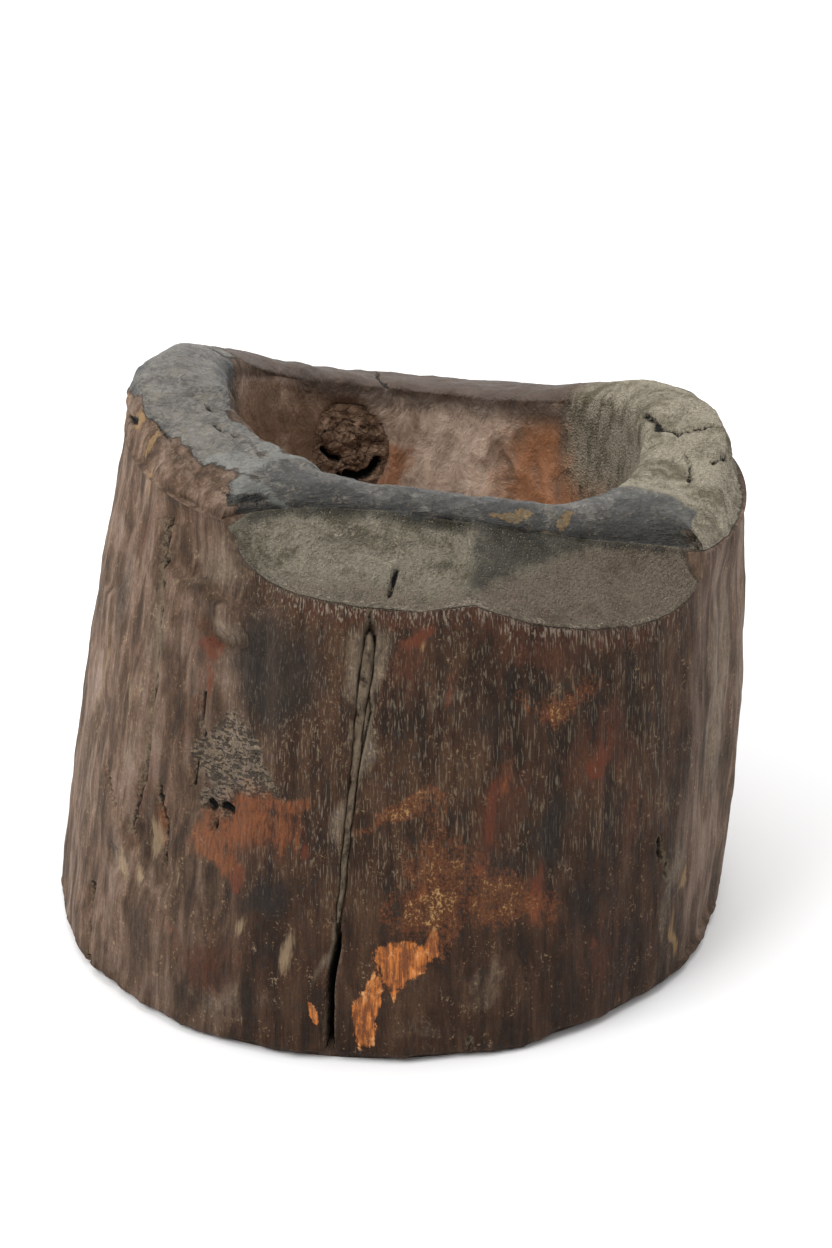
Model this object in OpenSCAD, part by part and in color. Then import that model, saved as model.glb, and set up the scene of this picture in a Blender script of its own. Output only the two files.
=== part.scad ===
// Hand-carved wooden mortar with a loose knot, a packed split and a short pestle.
// Units are millimetres, +Z is up, -Y is the front; the block stands on z = 0.
// Angles run anticlockwise from +X seen from above, so the front is at 270.

/* [Block] */
// Mean height of the rim crest above the table
rim_height = 144.4; // [100:0.5:220]
// Side to side width of the foot
foot_width = 200; // [140:1:280]
// Front to back depth of the foot
foot_depth = 218; // [150:1:300]
// Side to side width of the log just under the rim
head_width = 174; // [120:1:250]
// Front to back depth of the log just under the rim
head_depth = 188; // [130:1:260]
// How far the top of the log leans to the right
lean = 13; // [0:0.5:30]
// How far the whole log sits forward of the bowl centre
set_forward = 4; // [0:0.5:12]
// Outward swell of the wall at half height
belly = 2; // [0:0.1:6]
// Rounding of the lower outside edge
foot_round = 4; // [2:0.5:10]

/* [Rim] */
// Width of the rounded shoulder outside the crest at the sides
shoulder_side = 14; // [8:0.5:24]
// Width from the outer wall to the crest at the front and back
shoulder_front = 30; // [20:0.5:40]
// Mean fall from the crest to the top of the wall
shoulder_drop = 12.5; // [8:0.5:18]
// Rise of the crest toward the high left horn
horn_rise = 9.2; // [0:0.1:14]
// Saddle shape of the crest, sides up and front and back down
saddle_rise = 8.2; // [0:0.1:12]
// Mean width of the lip that rolls into the bowl
lip_width = 9; // [7:0.5:14]
// Mean depth of that lip below the crest
lip_drop = 5; // [4:0.5:9]

/* [Bowl] */
// Depth of the bowl below the mean crest
bowl_depth = 92; // [60:1:120]
// Fullness of the bowl wall, lower is fuller
bowl_fullness = 0.6; // [0.45:0.01:0.8]
// Share of the lean that the bowl floor keeps
floor_lean = 0.4; // [0:0.05:1]

/* [Adze cuts] */
// Depth of the chamfer cut into the front under the rim band
chamfer_depth = 26; // [10:0.5:32]
// Direction the chamfer faces
chamfer_angle = 277; // [265:1:285]
// Half of the angle the chamfer spans
chamfer_half = 43; // [30:1:55]
// Height of the left scoop below the rim band
scoop_left_fall = 15; // [8:0.5:22]
// Height of the right scoop below the rim band
scoop_right_fall = 16; // [8:0.5:22]
// Hollowing of the chamfer face
scoop_sag = 2.5; // [0:0.1:4]

/* [Split] */
// Direction of the front split
split_angle = 261.4; // [250:0.1:270]
// Depth of the split into the wall
split_depth = 9; // [5:0.5:14]
// How far the filling stops below the surface
filling_recess = 1.2; // [0.5:0.1:3]

/* [Knot] */
// Direction of the loose knot in the bowl wall
knot_angle = 119; // [110:1:150]
// Depth of the knot socket into the bowl wall
knot_depth = 9; // [5:0.5:12]
// How far the knot stands proud of the bowl wall
knot_proud = 1.5; // [0:0.1:3]

/* [Pestle] */
// Diameter of the grinding end
pestle_head = 34; // [26:0.5:42]
// Diameter of the waist
pestle_waist = 21; // [16:0.5:24]
// Diameter of the upper end
pestle_top = 26; // [22:0.5:30]
// Length over all
pestle_length = 100; // [80:0.5:125]
// Direction the pestle leans toward
pestle_heading = 243; // [200:1:300]
// Greatest lean of the resting pestle from upright
pestle_lean = 55; // [40:0.5:60]
// Gap between the resting pestle and the bowl
rest_gap = 1.4; // [0.5:0.1:3]

/* [Hidden] */

full_turn = 360;
quarter = 90;
radian = 57.2957795;       // degrees in a radian

// Fineness of the block's grid
columns = 96;              // columns around the block
foot_rings = 3;            // rings round the lower edge
wall_rings = 18;           // rings up the outer wall
chamfer_rings = 6;         // rings across the chamfer
shoulder_rings = 8;        // rings over the shoulder
lip_rings = 6;             // rings down the lip
bowl_rings = 15;           // rings down the bowl
rings = foot_rings + wall_rings + chamfer_rings + shoulder_rings + lip_rings + bowl_rings - 1;
front_density = 0.4;       // crowding of the columns toward the front

// Outlines of the log and of the bowl
head_drop = 4.4;           // fall from the mean crest to the height of the head outline
head_height = rim_height - head_drop;
floor_z = rim_height - bowl_depth;
bowl_back = 1;             // how far the bowl's mouth sits behind its floor
crest_a = head_width / 2 - shoulder_side;
crest_b = head_depth / 2 - shoulder_front;

// Waves that make each outline uneven, as order, size and direction of one crest
foot_mid = (foot_width + foot_depth) / 4;
foot_waves = [[2, (foot_width - foot_depth) / 4, 0], [3, 1, 100]];
head_mid = (head_width + head_depth) / 4;
head_waves = [[2, (head_width - head_depth) / 4, 0], [3, -1.5, 30]];
crest_mid = (crest_a + crest_b) / 2;
crest_waves = [[2, (crest_a - crest_b) / 2, 0]];
rim_waves = [[1, horn_rise, -155], [2, saddle_rise, 6], [3, 2, 32], [4, 1.6, 6]];
shoulder_waves = [[2, 4.5, 0], [1, 4, 90]];
lip_width_waves = [[2, 5, 0]];
lip_drop_waves = [[2, 3, 0]];

// Adze scoops, as direction, half width and height
scoops = [[260, 23, scoop_left_fall], [296, 25, scoop_right_fall]];
scoop_round = 0.7;         // below 1 makes the scoops' lower edges fuller
scoop_least = 0.2;         // least height of the cut as a share of its depth
ridge_gap = 1;             // wall left below the scoop edge ring

// Split and its filling
split_low = 2;             // height where the split starts
split_high = 0.845 * rim_height;   // height where it closes under the scoop
split_narrow = 0.9;        // half angle of the split at the foot
split_wide = 2.9;          // half angle of the split at the top
split_round = 0.35;        // below 1 makes the ends of the split blunter
filling_start = 5;         // first wall ring that the filling reaches

// Knot socket, in columns to each side of its middle and in bowl rings
knot_reach = 3;
knot_top = 0;
knot_bottom = 4;

// Shape of the pestle
waist_at = 0.55;           // share of the length where the waist lies
dome_step = 15;            // degrees between outline points on the round ends
body_steps = 18;           // outline points along the body
pestle_facets = 72;
bowl_step = 3;             // degrees between the bowl points that hold the pestle's ends
reach_step = 0.25;         // fineness with which the ends are set against the bowl

// Angle wave of a given order, size and direction
function wave(t, order, size, toward) = size * cos(order * (t - toward));

// Sum of a list of waves, from the one at index k on
function waves(t, list, k = 0) =
    k == len(list) ? 0 : wave(t, list[k][0], list[k][1], list[k][2]) + waves(t, list, k + 1);

// Column angle, crowded toward the front
function column_angle(i) =
    let (u = i * full_turn / columns)
    u + front_density * radian * sin(u - quarter);

// Signed turn from one angle to another
function turn(t, to) = ((t - to + full_turn + full_turn / 2) % full_turn) - full_turn / 2;

// Round hump, one at its centre and nought beyond its half width
function hump(t, centre, half) = sqrt(max(0, 1 - pow(turn(t, centre) / half, 2)));

// Flat-topped hump
function plateau(t, centre, half) = sqrt(max(0, 1 - pow(turn(t, centre) / half, 4)));

// Outline radii
function foot_radius(t) = foot_mid + waves(t, foot_waves);
function head_radius(t) = head_mid + waves(t, head_waves);
function crest_radius(t) = crest_mid + waves(t, crest_waves);

// Height of the crest
function crest_z(t) = rim_height + waves(t, rim_waves);

// Fall from crest to wall top, small at the front where the band is thin
function shoulder_fall(t) = shoulder_drop + waves(t, shoulder_waves);

// Width and depth of the lip that rolls into the bowl
function lip_span(t) = lip_width + waves(t, lip_width_waves);
function lip_fall(t) = lip_drop + waves(t, lip_drop_waves);

// Reach of the front chamfer and height of its two scoops
function chamfer_cut(t) = chamfer_depth * plateau(t, chamfer_angle, chamfer_half);
function scoop_fall(t) =
    max([scoop_least * chamfer_cut(t),
         each [for (s = scoops) s[2] * pow(hump(t, s[0], s[1]), scoop_round)]]);

function up(v, z) = [v.x, v.y, z];
function ray(t, r) = [r * cos(t), r * sin(t), 0];
function blend(a, b, f) = a + (b - a) * f;

// Share of the full split at a height, nought above and below it
function split_share(z) =
    let (f = (z - split_low) / (split_high - split_low))
    (f > 0 && f < 1) ? pow(sin(f * 180), split_round) : 0;

// Column angle drawn in to the edges of the split, which narrows downward
function split_turn(i, t, z) =
    abs(i - split_column) != 1 || split_share(z) == 0 ? t
    : column_angle(split_column) + (i - split_column)
      * blend(split_narrow, split_wide, z / split_high);

// A point on the outer wall, pushed in by push
function wall_at(i, t, z, push) =
    let (f = z / head_height, turned = split_turn(i, t, z),
         r = blend(foot_radius(t), head_radius(t), f) + belly * sin(180 * min(1, f)),
         centre = [lean * f, -set_forward, 0])
    up(centre + ray(turned, r - push), z);

function wall_point(i, t, z) =
    wall_at(i, t, z, i == split_column ? split_depth * split_share(z) : 0);

// One profile, from the underside up the wall, over the rim and down the bowl
function foot_part(t) =
    let (r = foot_radius(t), centre = [0, -set_forward, 0])
    [for (k = [0 : foot_rings - 1])
        let (a = k * quarter / foot_rings)
        up(centre + ray(t, r - foot_round + foot_round * sin(a)),
           foot_round * (1 - cos(a)))];

function top_of_wall(t) = crest_z(t) - shoulder_fall(t);
function ring_height(t, k) =
    blend(foot_round, top_of_wall(t) - scoop_fall(t) - ridge_gap, k / (wall_rings - 1));

function wall_part(i, t) =
    [for (k = [0 : wall_rings - 1]) wall_point(i, t, ring_height(t, k))];

function chamfer_part(i, t, edge, top) =
    let (a = wall_point(i, t, edge),
         b = wall_point(i, t, top) - ray(t, chamfer_cut(t)),
         sag = scoop_sag * chamfer_cut(t) / chamfer_depth)
    [for (k = [1 : chamfer_rings])
        let (f = k / chamfer_rings) blend(a, b, f) - ray(t, sag * sin(180 * f))];

crest_middle = [lean, bowl_back, 0];
function shoulder_part(t, start) =
    let (top = crest_middle + ray(t, crest_radius(t)), rise = crest_z(t) - start.z)
    [for (k = [1 : shoulder_rings])
        let (a = k * quarter / shoulder_rings, flat = blend(start, top, 1 - cos(a)))
        up(flat, start.z + rise * sin(a))];

function lip_part(t) =
    [for (k = [1 : lip_rings])
        let (a = k * quarter / lip_rings)
        up(crest_middle + ray(t, crest_radius(t) - lip_span(t) * sin(a)),
           crest_z(t) - lip_fall(t) * (1 - cos(a)))];

// Bowl wall point at profile angle a, pushed outward by push
function bowl_point(t, a, push) =
    let (r = crest_radius(t) - lip_span(t),
         top = crest_z(t) - lip_fall(t),
         shrink = pow(cos(a), bowl_fullness))
    [lean * blend(floor_lean, 1, cos(a)), bowl_back * cos(a), 0]
    + ray(t, r * shrink + push) + [0, 0, blend(top, floor_z, sin(a))];

// Socket of the loose knot, as a push on the bowl wall
function in_knot(i, k) =
    i > knot_first && i < knot_last && k > knot_top && k < knot_bottom;
function knot_push(i, k) = in_knot(i, k) ? knot_depth : 0;

function bowl_part(i, t) =
    [for (k = [1 : bowl_rings - 1])
        bowl_point(t, k * quarter / bowl_rings, knot_push(i, k))];

function profile(i) =
    let (t = column_angle(i),
         top = top_of_wall(t),
         chamfer = chamfer_part(i, t, top - scoop_fall(t), top),
         start = chamfer[chamfer_rings - 1])
    concat(foot_part(t), wall_part(i, t), chamfer,
           shoulder_part(t, start), lip_part(t), bowl_part(i, t));

// Columns that hold the split and the knot
function nearest_column(t) =
    let (off = [for (i = [0 : columns - 1]) abs(turn(column_angle(i), t))])
    search(min(off), off)[0];
split_column = nearest_column(split_angle);
knot_first = nearest_column(knot_angle) - knot_reach;
knot_last = nearest_column(knot_angle) + knot_reach;

// Grid of the block, and the middle of its outline, which stands over the origin
block_points = [for (i = [0 : columns - 1]) each profile(i)];
xs = [for (p = block_points) p.x];
ys = [for (p = block_points) p.y];
middle = [(max(xs) + min(xs)) / 2, (max(ys) + min(ys)) / 2, 0];

// Triangles between two neighbouring columns of points, outside facing out
function skin(n, m, closed) =
    [for (i = [0 : n - (closed ? 1 : 2)]) for (j = [0 : m - 2])
        let (a = i * m + j, b = ((i + 1) % n) * m + j)
        each [[a, a + 1, b + 1], [a, b + 1, b]]];

module mortar_block() {
    floor_middle = [lean * floor_lean, 0, floor_z];
    last = columns * rings;
    faces = concat(
        skin(columns, rings, true),
        [[for (i = [0 : columns - 1]) i * rings]],
        [for (i = [0 : columns - 1])
            [i * rings + rings - 1, last, ((i + 1) % columns) * rings + rings - 1]]);
    color("SaddleBrown") translate(-middle)
        polyhedron(concat(block_points, [floor_middle]), faces);
}

// The dead knot fills its socket and stands slightly proud of the bowl
module bowl_knot() {
    n = knot_last - knot_first + 1;
    m = knot_bottom - knot_top + 1;
    function at(i, k, push) =
        bowl_point(column_angle(knot_first + i), (knot_top + k) * quarter / bowl_rings, push);
    function inner(i, k) = i > 0 && i < n - 1 && k > 0 && k < m - 1;
    function rise(i, k) = inner(i, k) ? -knot_proud : 0;
    back = [for (i = [0 : n - 1]) for (k = [0 : m - 1])
        at(i, k, knot_push(knot_first + i, knot_top + k))];
    front = [for (i = [1 : n - 2]) for (k = [1 : m - 2]) at(i, k, rise(i, k))];
    function front_id(i, k) =
        inner(i, k) ? n * m + (i - 1) * (m - 2) + k - 1 : i * m + k;
    // A triangle whose corners all lie on the border would have no thickness
    function real(f) =
        len([for (v = f) if (inner(floor(v / m), v % m)) v]) > 0;
    grid = [for (f = skin(n, m, false)) if (real(f)) f];
    back_faces = [for (f = grid) [f[2], f[1], f[0]]];
    front_faces = [for (f = grid) [for (v = f) front_id(floor(v / m), v % m)]];
    color("Sienna") translate(-middle)
        polyhedron(concat(back, front), concat(back_faces, front_faces));
}

// Grey dust and fibre packed into the upper part of the split
module split_filling() {
    top_ring = wall_rings - 2;
    n = top_ring - filling_start + 1;
    function side(i, k) = wall_point(i, column_angle(i), ring_height(column_angle(i), k));
    function face(k) =
        let (i = split_column, t = column_angle(i), z = ring_height(t, k))
        wall_at(i, t, z, filling_recess);
    points = [for (k = [filling_start : top_ring]) each
        [side(split_column - 1, k), side(split_column, k), side(split_column + 1, k), face(k)]];
    sides = [for (k = [0 : n - 2]) for (q = [0 : 3])
        let (a = 4 * k + q, b = 4 * k + (q + 1) % 4)
        each [[a, b + 4, a + 4], [a, b, b + 4]]];
    end = 4 * (n - 1);
    caps = [[0, 3, 1], [1, 3, 2], [end, end + 1, end + 3], [end + 1, end + 2, end + 3]];
    color("DimGray") translate(-middle) polyhedron(points, concat(sides, caps));
}

// Radius of the pestle along its length, from the grinding end up
function pestle_radius(f) =
    f < waist_at
    ? blend(pestle_head, pestle_waist, (1 - cos(180 * f / waist_at)) / 2) / 2
    : blend(pestle_waist, pestle_top, (1 - cos(180 * (f - waist_at) / (1 - waist_at))) / 2) / 2;

// Bowl wall toward t, as distance from the bowl's middle line and height
bowl_middle = [lean * (1 + floor_lean) / 2, bowl_back / 2, 0];
function bowl_line(t) =
    [for (a = [0 : bowl_step : quarter])
        let (p = bowl_point(t, a, 0)) [(p - bowl_middle) * ray(t, 1), p.z]];

// Farthest that a round end of radius r at height z sits from that line toward t
function end_reach(t, z, r) =
    let (wall = bowl_line(t))
    max([0, each [for (s = [0 : reach_step : crest_radius(t)])
        if (min([for (p = wall) norm(p - [s, z])]) >= r + rest_gap) s]]);

// The pestle stands on its head on the bowl floor and leans on the bowl wall
module pestle() {
    low_r = pestle_head / 2;
    high_r = pestle_top / 2;
    span = pestle_length - low_r - high_r;
    low_z = floor_z + low_r + rest_gap;
    high_reach = end_reach(pestle_heading, low_z + span * cos(pestle_lean), high_r);
    low_reach = end_reach(pestle_heading + full_turn / 2, low_z, low_r);
    tilt = min(pestle_lean, asin(min(1, (high_reach + low_reach) / span)));
    low_at = bowl_middle - middle + ray(pestle_heading, high_reach - span * sin(tilt));
    outline = concat(
        [for (a = [0 : dome_step : quarter]) [low_r * sin(a), low_r * (1 - cos(a))]],
        [for (k = [1 : body_steps - 1])
            let (f = k / body_steps) [pestle_radius(f), low_r + span * f]],
        [for (a = [quarter : -dome_step : 0])
            [high_r * sin(a), low_r + span + high_r * cos(a)]]);
    color("Peru") translate(up(low_at, low_z)) rotate([0, tilt, pestle_heading])
        translate([0, 0, -low_r]) rotate_extrude($fn = pestle_facets) polygon(outline);
}

mortar_block();
bowl_knot();
split_filling();
pestle();
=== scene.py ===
"""Looks of an old hand-carved wooden mortar, its loose knot, packed split and pestle.

The block is one spun grid that follows the carved shape, is then cut by adze scars,
splits, holes and rot, and is dressed in one layered wood finish. Shape sizes are in
millimetres and become metres when a mesh is placed. Angles are degrees seen from above,
anticlockwise from +X, so the front of the block is at 270.
"""

import logging
import math
from dataclasses import dataclass, field
from enum import Enum

import bmesh
import bpy
import numpy as np
from mathutils import Matrix, Vector, noise


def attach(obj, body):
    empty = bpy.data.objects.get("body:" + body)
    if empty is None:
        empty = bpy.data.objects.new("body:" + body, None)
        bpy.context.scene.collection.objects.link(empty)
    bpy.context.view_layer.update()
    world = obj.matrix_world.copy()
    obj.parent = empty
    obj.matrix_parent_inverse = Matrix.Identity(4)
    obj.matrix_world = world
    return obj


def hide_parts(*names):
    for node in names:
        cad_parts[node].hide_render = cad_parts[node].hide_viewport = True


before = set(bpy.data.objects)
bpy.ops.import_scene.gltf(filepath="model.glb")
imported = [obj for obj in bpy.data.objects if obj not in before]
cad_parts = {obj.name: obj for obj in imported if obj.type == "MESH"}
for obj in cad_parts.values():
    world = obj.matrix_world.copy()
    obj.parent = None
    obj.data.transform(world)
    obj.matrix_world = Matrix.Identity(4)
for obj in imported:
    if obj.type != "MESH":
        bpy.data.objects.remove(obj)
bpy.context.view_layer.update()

LOG = logging.getLogger("mortar")
MM = 0.001
FULL_TURN = 360.0
Colour = tuple[float, float, float]


# --------------------------------------------------------------------------- maths


def wave(t: np.ndarray, order: int, size: float, toward: float) -> np.ndarray:
    """Cosine wave round the block.

    Args:
        t: Angles in degrees.
        order: Number of crests in a full turn.
        size: Height of the wave.
        toward: Angle of one crest.

    Returns:
        The wave's value at each angle.
    """
    return size * np.cos(np.radians(order * (t - toward)))


def turn(t: np.ndarray, to: float) -> np.ndarray:
    """Signed turn in degrees from the angle to to each angle of t."""
    return (t - to + FULL_TURN * 1.5) % FULL_TURN - FULL_TURN / 2


def smooth(x: np.ndarray, low: float, high: float) -> np.ndarray:
    """Smooth step of x, 0 at low and 1 at high; low may be above high."""
    f = np.clip((x - low) / (high - low), 0.0, 1.0)
    return f * f * (3.0 - 2.0 * f)


def grain(points: np.ndarray, size: tuple[float, float, float], octaves: int, seed: float) -> np.ndarray:
    """Fractal noise on points in millimetres.

    Args:
        points: Array whose last axis is x, y, z.
        size: Size of the largest lumps along each axis.
        octaves: Number of layers of noise.
        seed: Offset that picks another pattern.

    Returns:
        Noise of about -1 to 1, one value for each point.
    """
    flat = points.reshape(-1, 3) / np.array(size) + seed
    values = [noise.fractal(Vector(p), 1.0, 2.0, octaves) for p in flat]
    return np.array(values).reshape(points.shape[:-1])


def path_distance(x: np.ndarray, y: np.ndarray, path: list[tuple]) -> np.ndarray:
    """Distance from each point to a path.

    Args:
        x: First coordinates.
        y: Second coordinates.
        path: Corners of the path; their coordinates may be arrays too.

    Returns:
        The distance from each point to the nearest stretch.
    """
    best = np.full(np.broadcast(x, y).shape, np.inf)
    for (ax, ay), (bx, by) in zip(path, path[1:]):
        dx, dy = bx - ax, by - ay
        f = np.clip(((x - ax) * dx + (y - ay) * dy) / (dx * dx + dy * dy), 0, 1)
        best = np.minimum(best, np.hypot(x - ax - f * dx, y - ay - f * dy))
    return best


def linear(hex_colour: str) -> Colour:
    """Scene-linear colour of a six-digit screen colour."""
    parts = [int(hex_colour[i : i + 2], 16) / 255 for i in (0, 2, 4)]
    return tuple(c / 12.92 if c <= 0.04045 else ((c + 0.055) / 1.055) ** 2.4 for c in parts)


# ------------------------------------------------------------------ shader expressions


class Value:
    """A shader socket that takes part in Python expressions."""

    def __init__(self, tree: "Graph", socket: bpy.types.NodeSocket) -> None:
        """Wraps an output socket of a node in tree."""
        self.tree = tree
        self.socket = socket

    def _maths(self, operation: str, *others: "Value | float", clamp: bool = False) -> "Value":
        """Adds a Math node of that operation on this value and the others."""
        inputs = {i: v for i, v in enumerate((self, *others))}
        settings = {"operation": operation, "use_clamp": clamp}
        return self.tree.add("ShaderNodeMath", settings, inputs)

    def __add__(self, other: "Value | float") -> "Value":
        """Sum."""
        return self._maths("ADD", other)

    __radd__ = __add__

    def __sub__(self, other: "Value | float") -> "Value":
        """Difference."""
        return self._maths("SUBTRACT", other)

    def __rsub__(self, other: float) -> "Value":
        """Difference from a number."""
        return self.tree.add("ShaderNodeMath", {"operation": "SUBTRACT"}, {0: other, 1: self})

    def __mul__(self, other: "Value | float") -> "Value":
        """Product."""
        return self._maths("MULTIPLY", other)

    __rmul__ = __mul__

    def clamp(self) -> "Value":
        """This value held between 0 and 1."""
        return self._maths("ADD", 0.0, clamp=True)

    def most(self, other: "Value | float") -> "Value":
        """The larger of the two."""
        return self._maths("MAXIMUM", other)

    def spread(self, gain: float) -> "Value":
        """This noise with its contrast raised about one half."""
        return ((self - 0.5) * gain + 0.5).clamp()

    def step(self, low: float, high: float) -> "Value":
        """Smooth step, 0 at low and 1 at high; low may be above high."""
        flip = low > high
        a, b = (high, low) if flip else (low, high)
        settings = {"interpolation_type": "SMOOTHSTEP", "clamp": True}
        inputs = {"Value": self, "From Min": a, "From Max": b}
        stepped = self.tree.add("ShaderNodeMapRange", settings, inputs)
        return 1.0 - stepped if flip else stepped


class Graph:
    """A node tree to which nodes are added by expressions."""

    def __init__(self, node_tree: bpy.types.NodeTree) -> None:
        """Takes over a node tree as it stands."""
        self.nodes = node_tree.nodes
        self.links = node_tree.links

    def node(self, kind: str, settings: dict, inputs: dict) -> bpy.types.Node:
        """Adds a node.

        Args:
            kind: The node's type name.
            settings: Properties to set before its sockets.
            inputs: Values or links of its sockets, by name or index.

        Returns:
            The new node.
        """
        made = self.nodes.new(kind)
        for key, value in settings.items():
            setattr(made, key, value)
        for key, value in inputs.items():
            socket = made.inputs[key]
            if isinstance(value, Value):
                self.links.new(value.socket, socket)
            elif isinstance(value, tuple) and socket.type == "RGBA" and len(value) == 3:
                socket.default_value = (*value, 1.0)
            else:
                socket.default_value = value
        return made

    def add(self, kind: str, settings: dict, inputs: dict, output: str | int = 0) -> Value:
        """Adds a node and returns one of its outputs as a value."""
        return Value(self, self.node(kind, settings, inputs).outputs[output])


class Tree(Graph):
    """One material's node tree."""

    def __init__(self, name: str) -> None:
        """Starts an empty material of that name."""
        self.material = bpy.data.materials.new(name)
        self.material.use_nodes = True
        super().__init__(self.material.node_tree)
        self.nodes.clear()
        place = self.add("ShaderNodeTexCoord", {}, {}, output="Object")
        self.place = self.scale(place, (1 / MM, 1 / MM, 1 / MM))

    def scale(self, vector: Value, by: tuple[float, float, float]) -> Value:
        """A vector multiplied axis by axis."""
        return self.add("ShaderNodeVectorMath", {"operation": "MULTIPLY"}, {0: vector, 1: by})

    def shift(self, vector: Value, by: "Value | tuple[float, float, float]") -> Value:
        """A vector moved by another vector."""
        return self.add("ShaderNodeVectorMath", {"operation": "ADD"}, {0: vector, 1: by})

    def mask(self, name: str) -> Value:
        """A painted mask stored on the mesh."""
        return self.add("ShaderNodeAttribute", {"attribute_name": name}, {}, output="Fac")

    def cloud(
        self,
        size: tuple[float, float, float],
        detail: float = 3.0,
        seed: float = 0.0,
        bend: float = 0.0,
        rough: float = 0.55,
    ) -> Value:
        """Fractal noise, 0 to 1.

        Args:
            size: Size of its lumps along each axis, in millimetres.
            detail: Number of finer layers.
            seed: Offset that picks another pattern.
            bend: How far the lumps are warped.
            rough: Strength of the finer layers.

        Returns:
            The noise.
        """
        at = self.scale(self.place, tuple(1 / s for s in size))
        at = self.shift(at, (seed, seed * 0.7, seed * 1.3)) if seed else at
        inputs = {"Vector": at, "Scale": 1.0, "Detail": detail, "Roughness": rough, "Distortion": bend}
        return self.add("ShaderNodeTexNoise", {}, inputs, output="Fac")

    def cells(self, size: tuple[float, float, float], feature: str = "F1", seed: float = 0.0) -> Value:
        """Cells scattered through the piece.

        Args:
            size: Size of a cell along each axis, in millimetres.
            feature: What the distance is measured to, a cell's centre or its wall.
            seed: Offset that picks another pattern.

        Returns:
            The distance, about 0 to 1.
        """
        at = self.scale(self.place, tuple(1 / s for s in size))
        at = self.shift(at, (seed, seed, seed)) if seed else at
        inputs = {"Vector": at, "Scale": 1.0}
        return self.add("ShaderNodeTexVoronoi", {"feature": feature}, inputs, output="Distance")

    def blend(self, share: "Value | float", a: "Value | Colour", b: "Value | Colour") -> Value:
        """Colour a where share is 0 and b where it is 1."""
        settings = {"data_type": "RGBA", "blend_type": "MIX", "clamp_factor": True}
        inputs = {0: share, 6: a, 7: b}
        return self.add("ShaderNodeMix", settings, inputs, output=2)

    def tint(self, share: "Value | float", a: Value, b: "Value | Colour") -> Value:
        """Colour a multiplied by b as far as share says."""
        settings = {"data_type": "RGBA", "blend_type": "MULTIPLY", "clamp_factor": True}
        return self.add("ShaderNodeMix", settings, {0: share, 6: a, 7: b}, output=2)

    def rgb(self, colour: Colour) -> Value:
        """A plain colour as a value."""
        made = self.node("ShaderNodeRGB", {}, {})
        made.outputs[0].default_value = (*colour, 1.0)
        return Value(self, made.outputs[0])

    def brighten(self, colour: Value, by: "Value | float") -> Value:
        """Colour scaled by a value."""
        inputs = {0: colour, "Scale": by}
        return self.add("ShaderNodeVectorMath", {"operation": "SCALE"}, inputs)

    def relief(self, height: Value) -> Value:
        """Normal bumped by a height in millimetres."""
        inputs = {"Strength": 1.0, "Distance": MM, "Height": height}
        return self.add("ShaderNodeBump", {}, inputs, output="Normal")

    def surface(self, colour: Value, rough: Value, normal: Value, shine: float) -> Value:
        """Principled surface of one shine."""
        inputs = {"Base Color": colour, "Roughness": rough, "Normal": normal, "Specular IOR Level": shine}
        return self.add("ShaderNodeBsdfPrincipled", {}, inputs, output="BSDF")

    def mix(self, share: Value, a: Value, b: Value) -> Value:
        """Surface a where share is 0 and b where it is 1."""
        return self.add("ShaderNodeMixShader", {}, {0: share, 1: a, 2: b})

    def finish(self, surface: Value) -> bpy.types.Material:
        """Closes the tree with its surface."""
        self.node("ShaderNodeOutputMaterial", {}, {"Surface": surface})
        return self.material


class BlockTree(Tree):
    """The block's node tree, with the noise that several of its layers share."""

    def __init__(self) -> None:
        """Starts the tree and its noise."""
        super().__init__("aged_block_wood")
        self.lump = self.cloud((13, 13, 24), 4, 1.0, 0.5)
        self.ragged = self.cloud((4.2, 4.2, 8), 5, 2.0, 0.5, 0.68)
        self.mottle = self.cloud((1.6, 1.6, 2.6), 4, 3.0, 0.4, 0.7)
        self.crumb = self.cloud((0.8, 0.8, 0.9), 3, 7.0, 0.3, 0.7)
        self.fibre = self.cloud((0.7, 0.7, 14), 3, 4.0, 0.25, 0.6)
        self.hair = self.cloud((0.42, 0.42, 6), 2, 6.0, 0.4)
        self.streak = self.cloud((3.6, 3.6, 40), 4, 5.0, 0.5, 0.6)
        self.weave = self.cells((0.8, 0.8, 0.8), seed=9.0)

    def stain(self, name: str, upright: float, soft: float = 0.4) -> Value:
        """A painted stain that frays at its edges.

        Args:
            name: The painted mask.
            upright: Share of the fraying that follows the fibre.
            soft: Width of the edge.

        Returns:
            How much of the stain shows, 0 to 1.
        """
        spots = self.ragged.spread(2.2) * 0.65 + self.mottle.spread(2.0) * 0.35
        along = self.streak.spread(2.4) * 0.55 + self.fibre.spread(1.8) * 0.45
        frayed = spots * (1.0 - upright) + along * upright
        return (frayed + self.mask(name) * 0.82 - 0.92).step(0.0, soft)

    def fringed(self, name: str, low: float, high: float, **noises: float) -> Value:
        """A painted mask whose edge is broken up by noise.

        Args:
            name: The painted mask.
            low: Where it starts to show.
            high: Where it shows in full.
            **noises: Strength of each of the tree's own noises.

        Returns:
            How much of it shows, 0 to 1.
        """
        edge = self.mask(name)
        for noise_name, strength in noises.items():
            edge = edge + (getattr(self, noise_name) - 0.5) * strength
        return edge.step(low, high)


# ------------------------------------------------------------------------ finishes


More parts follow.
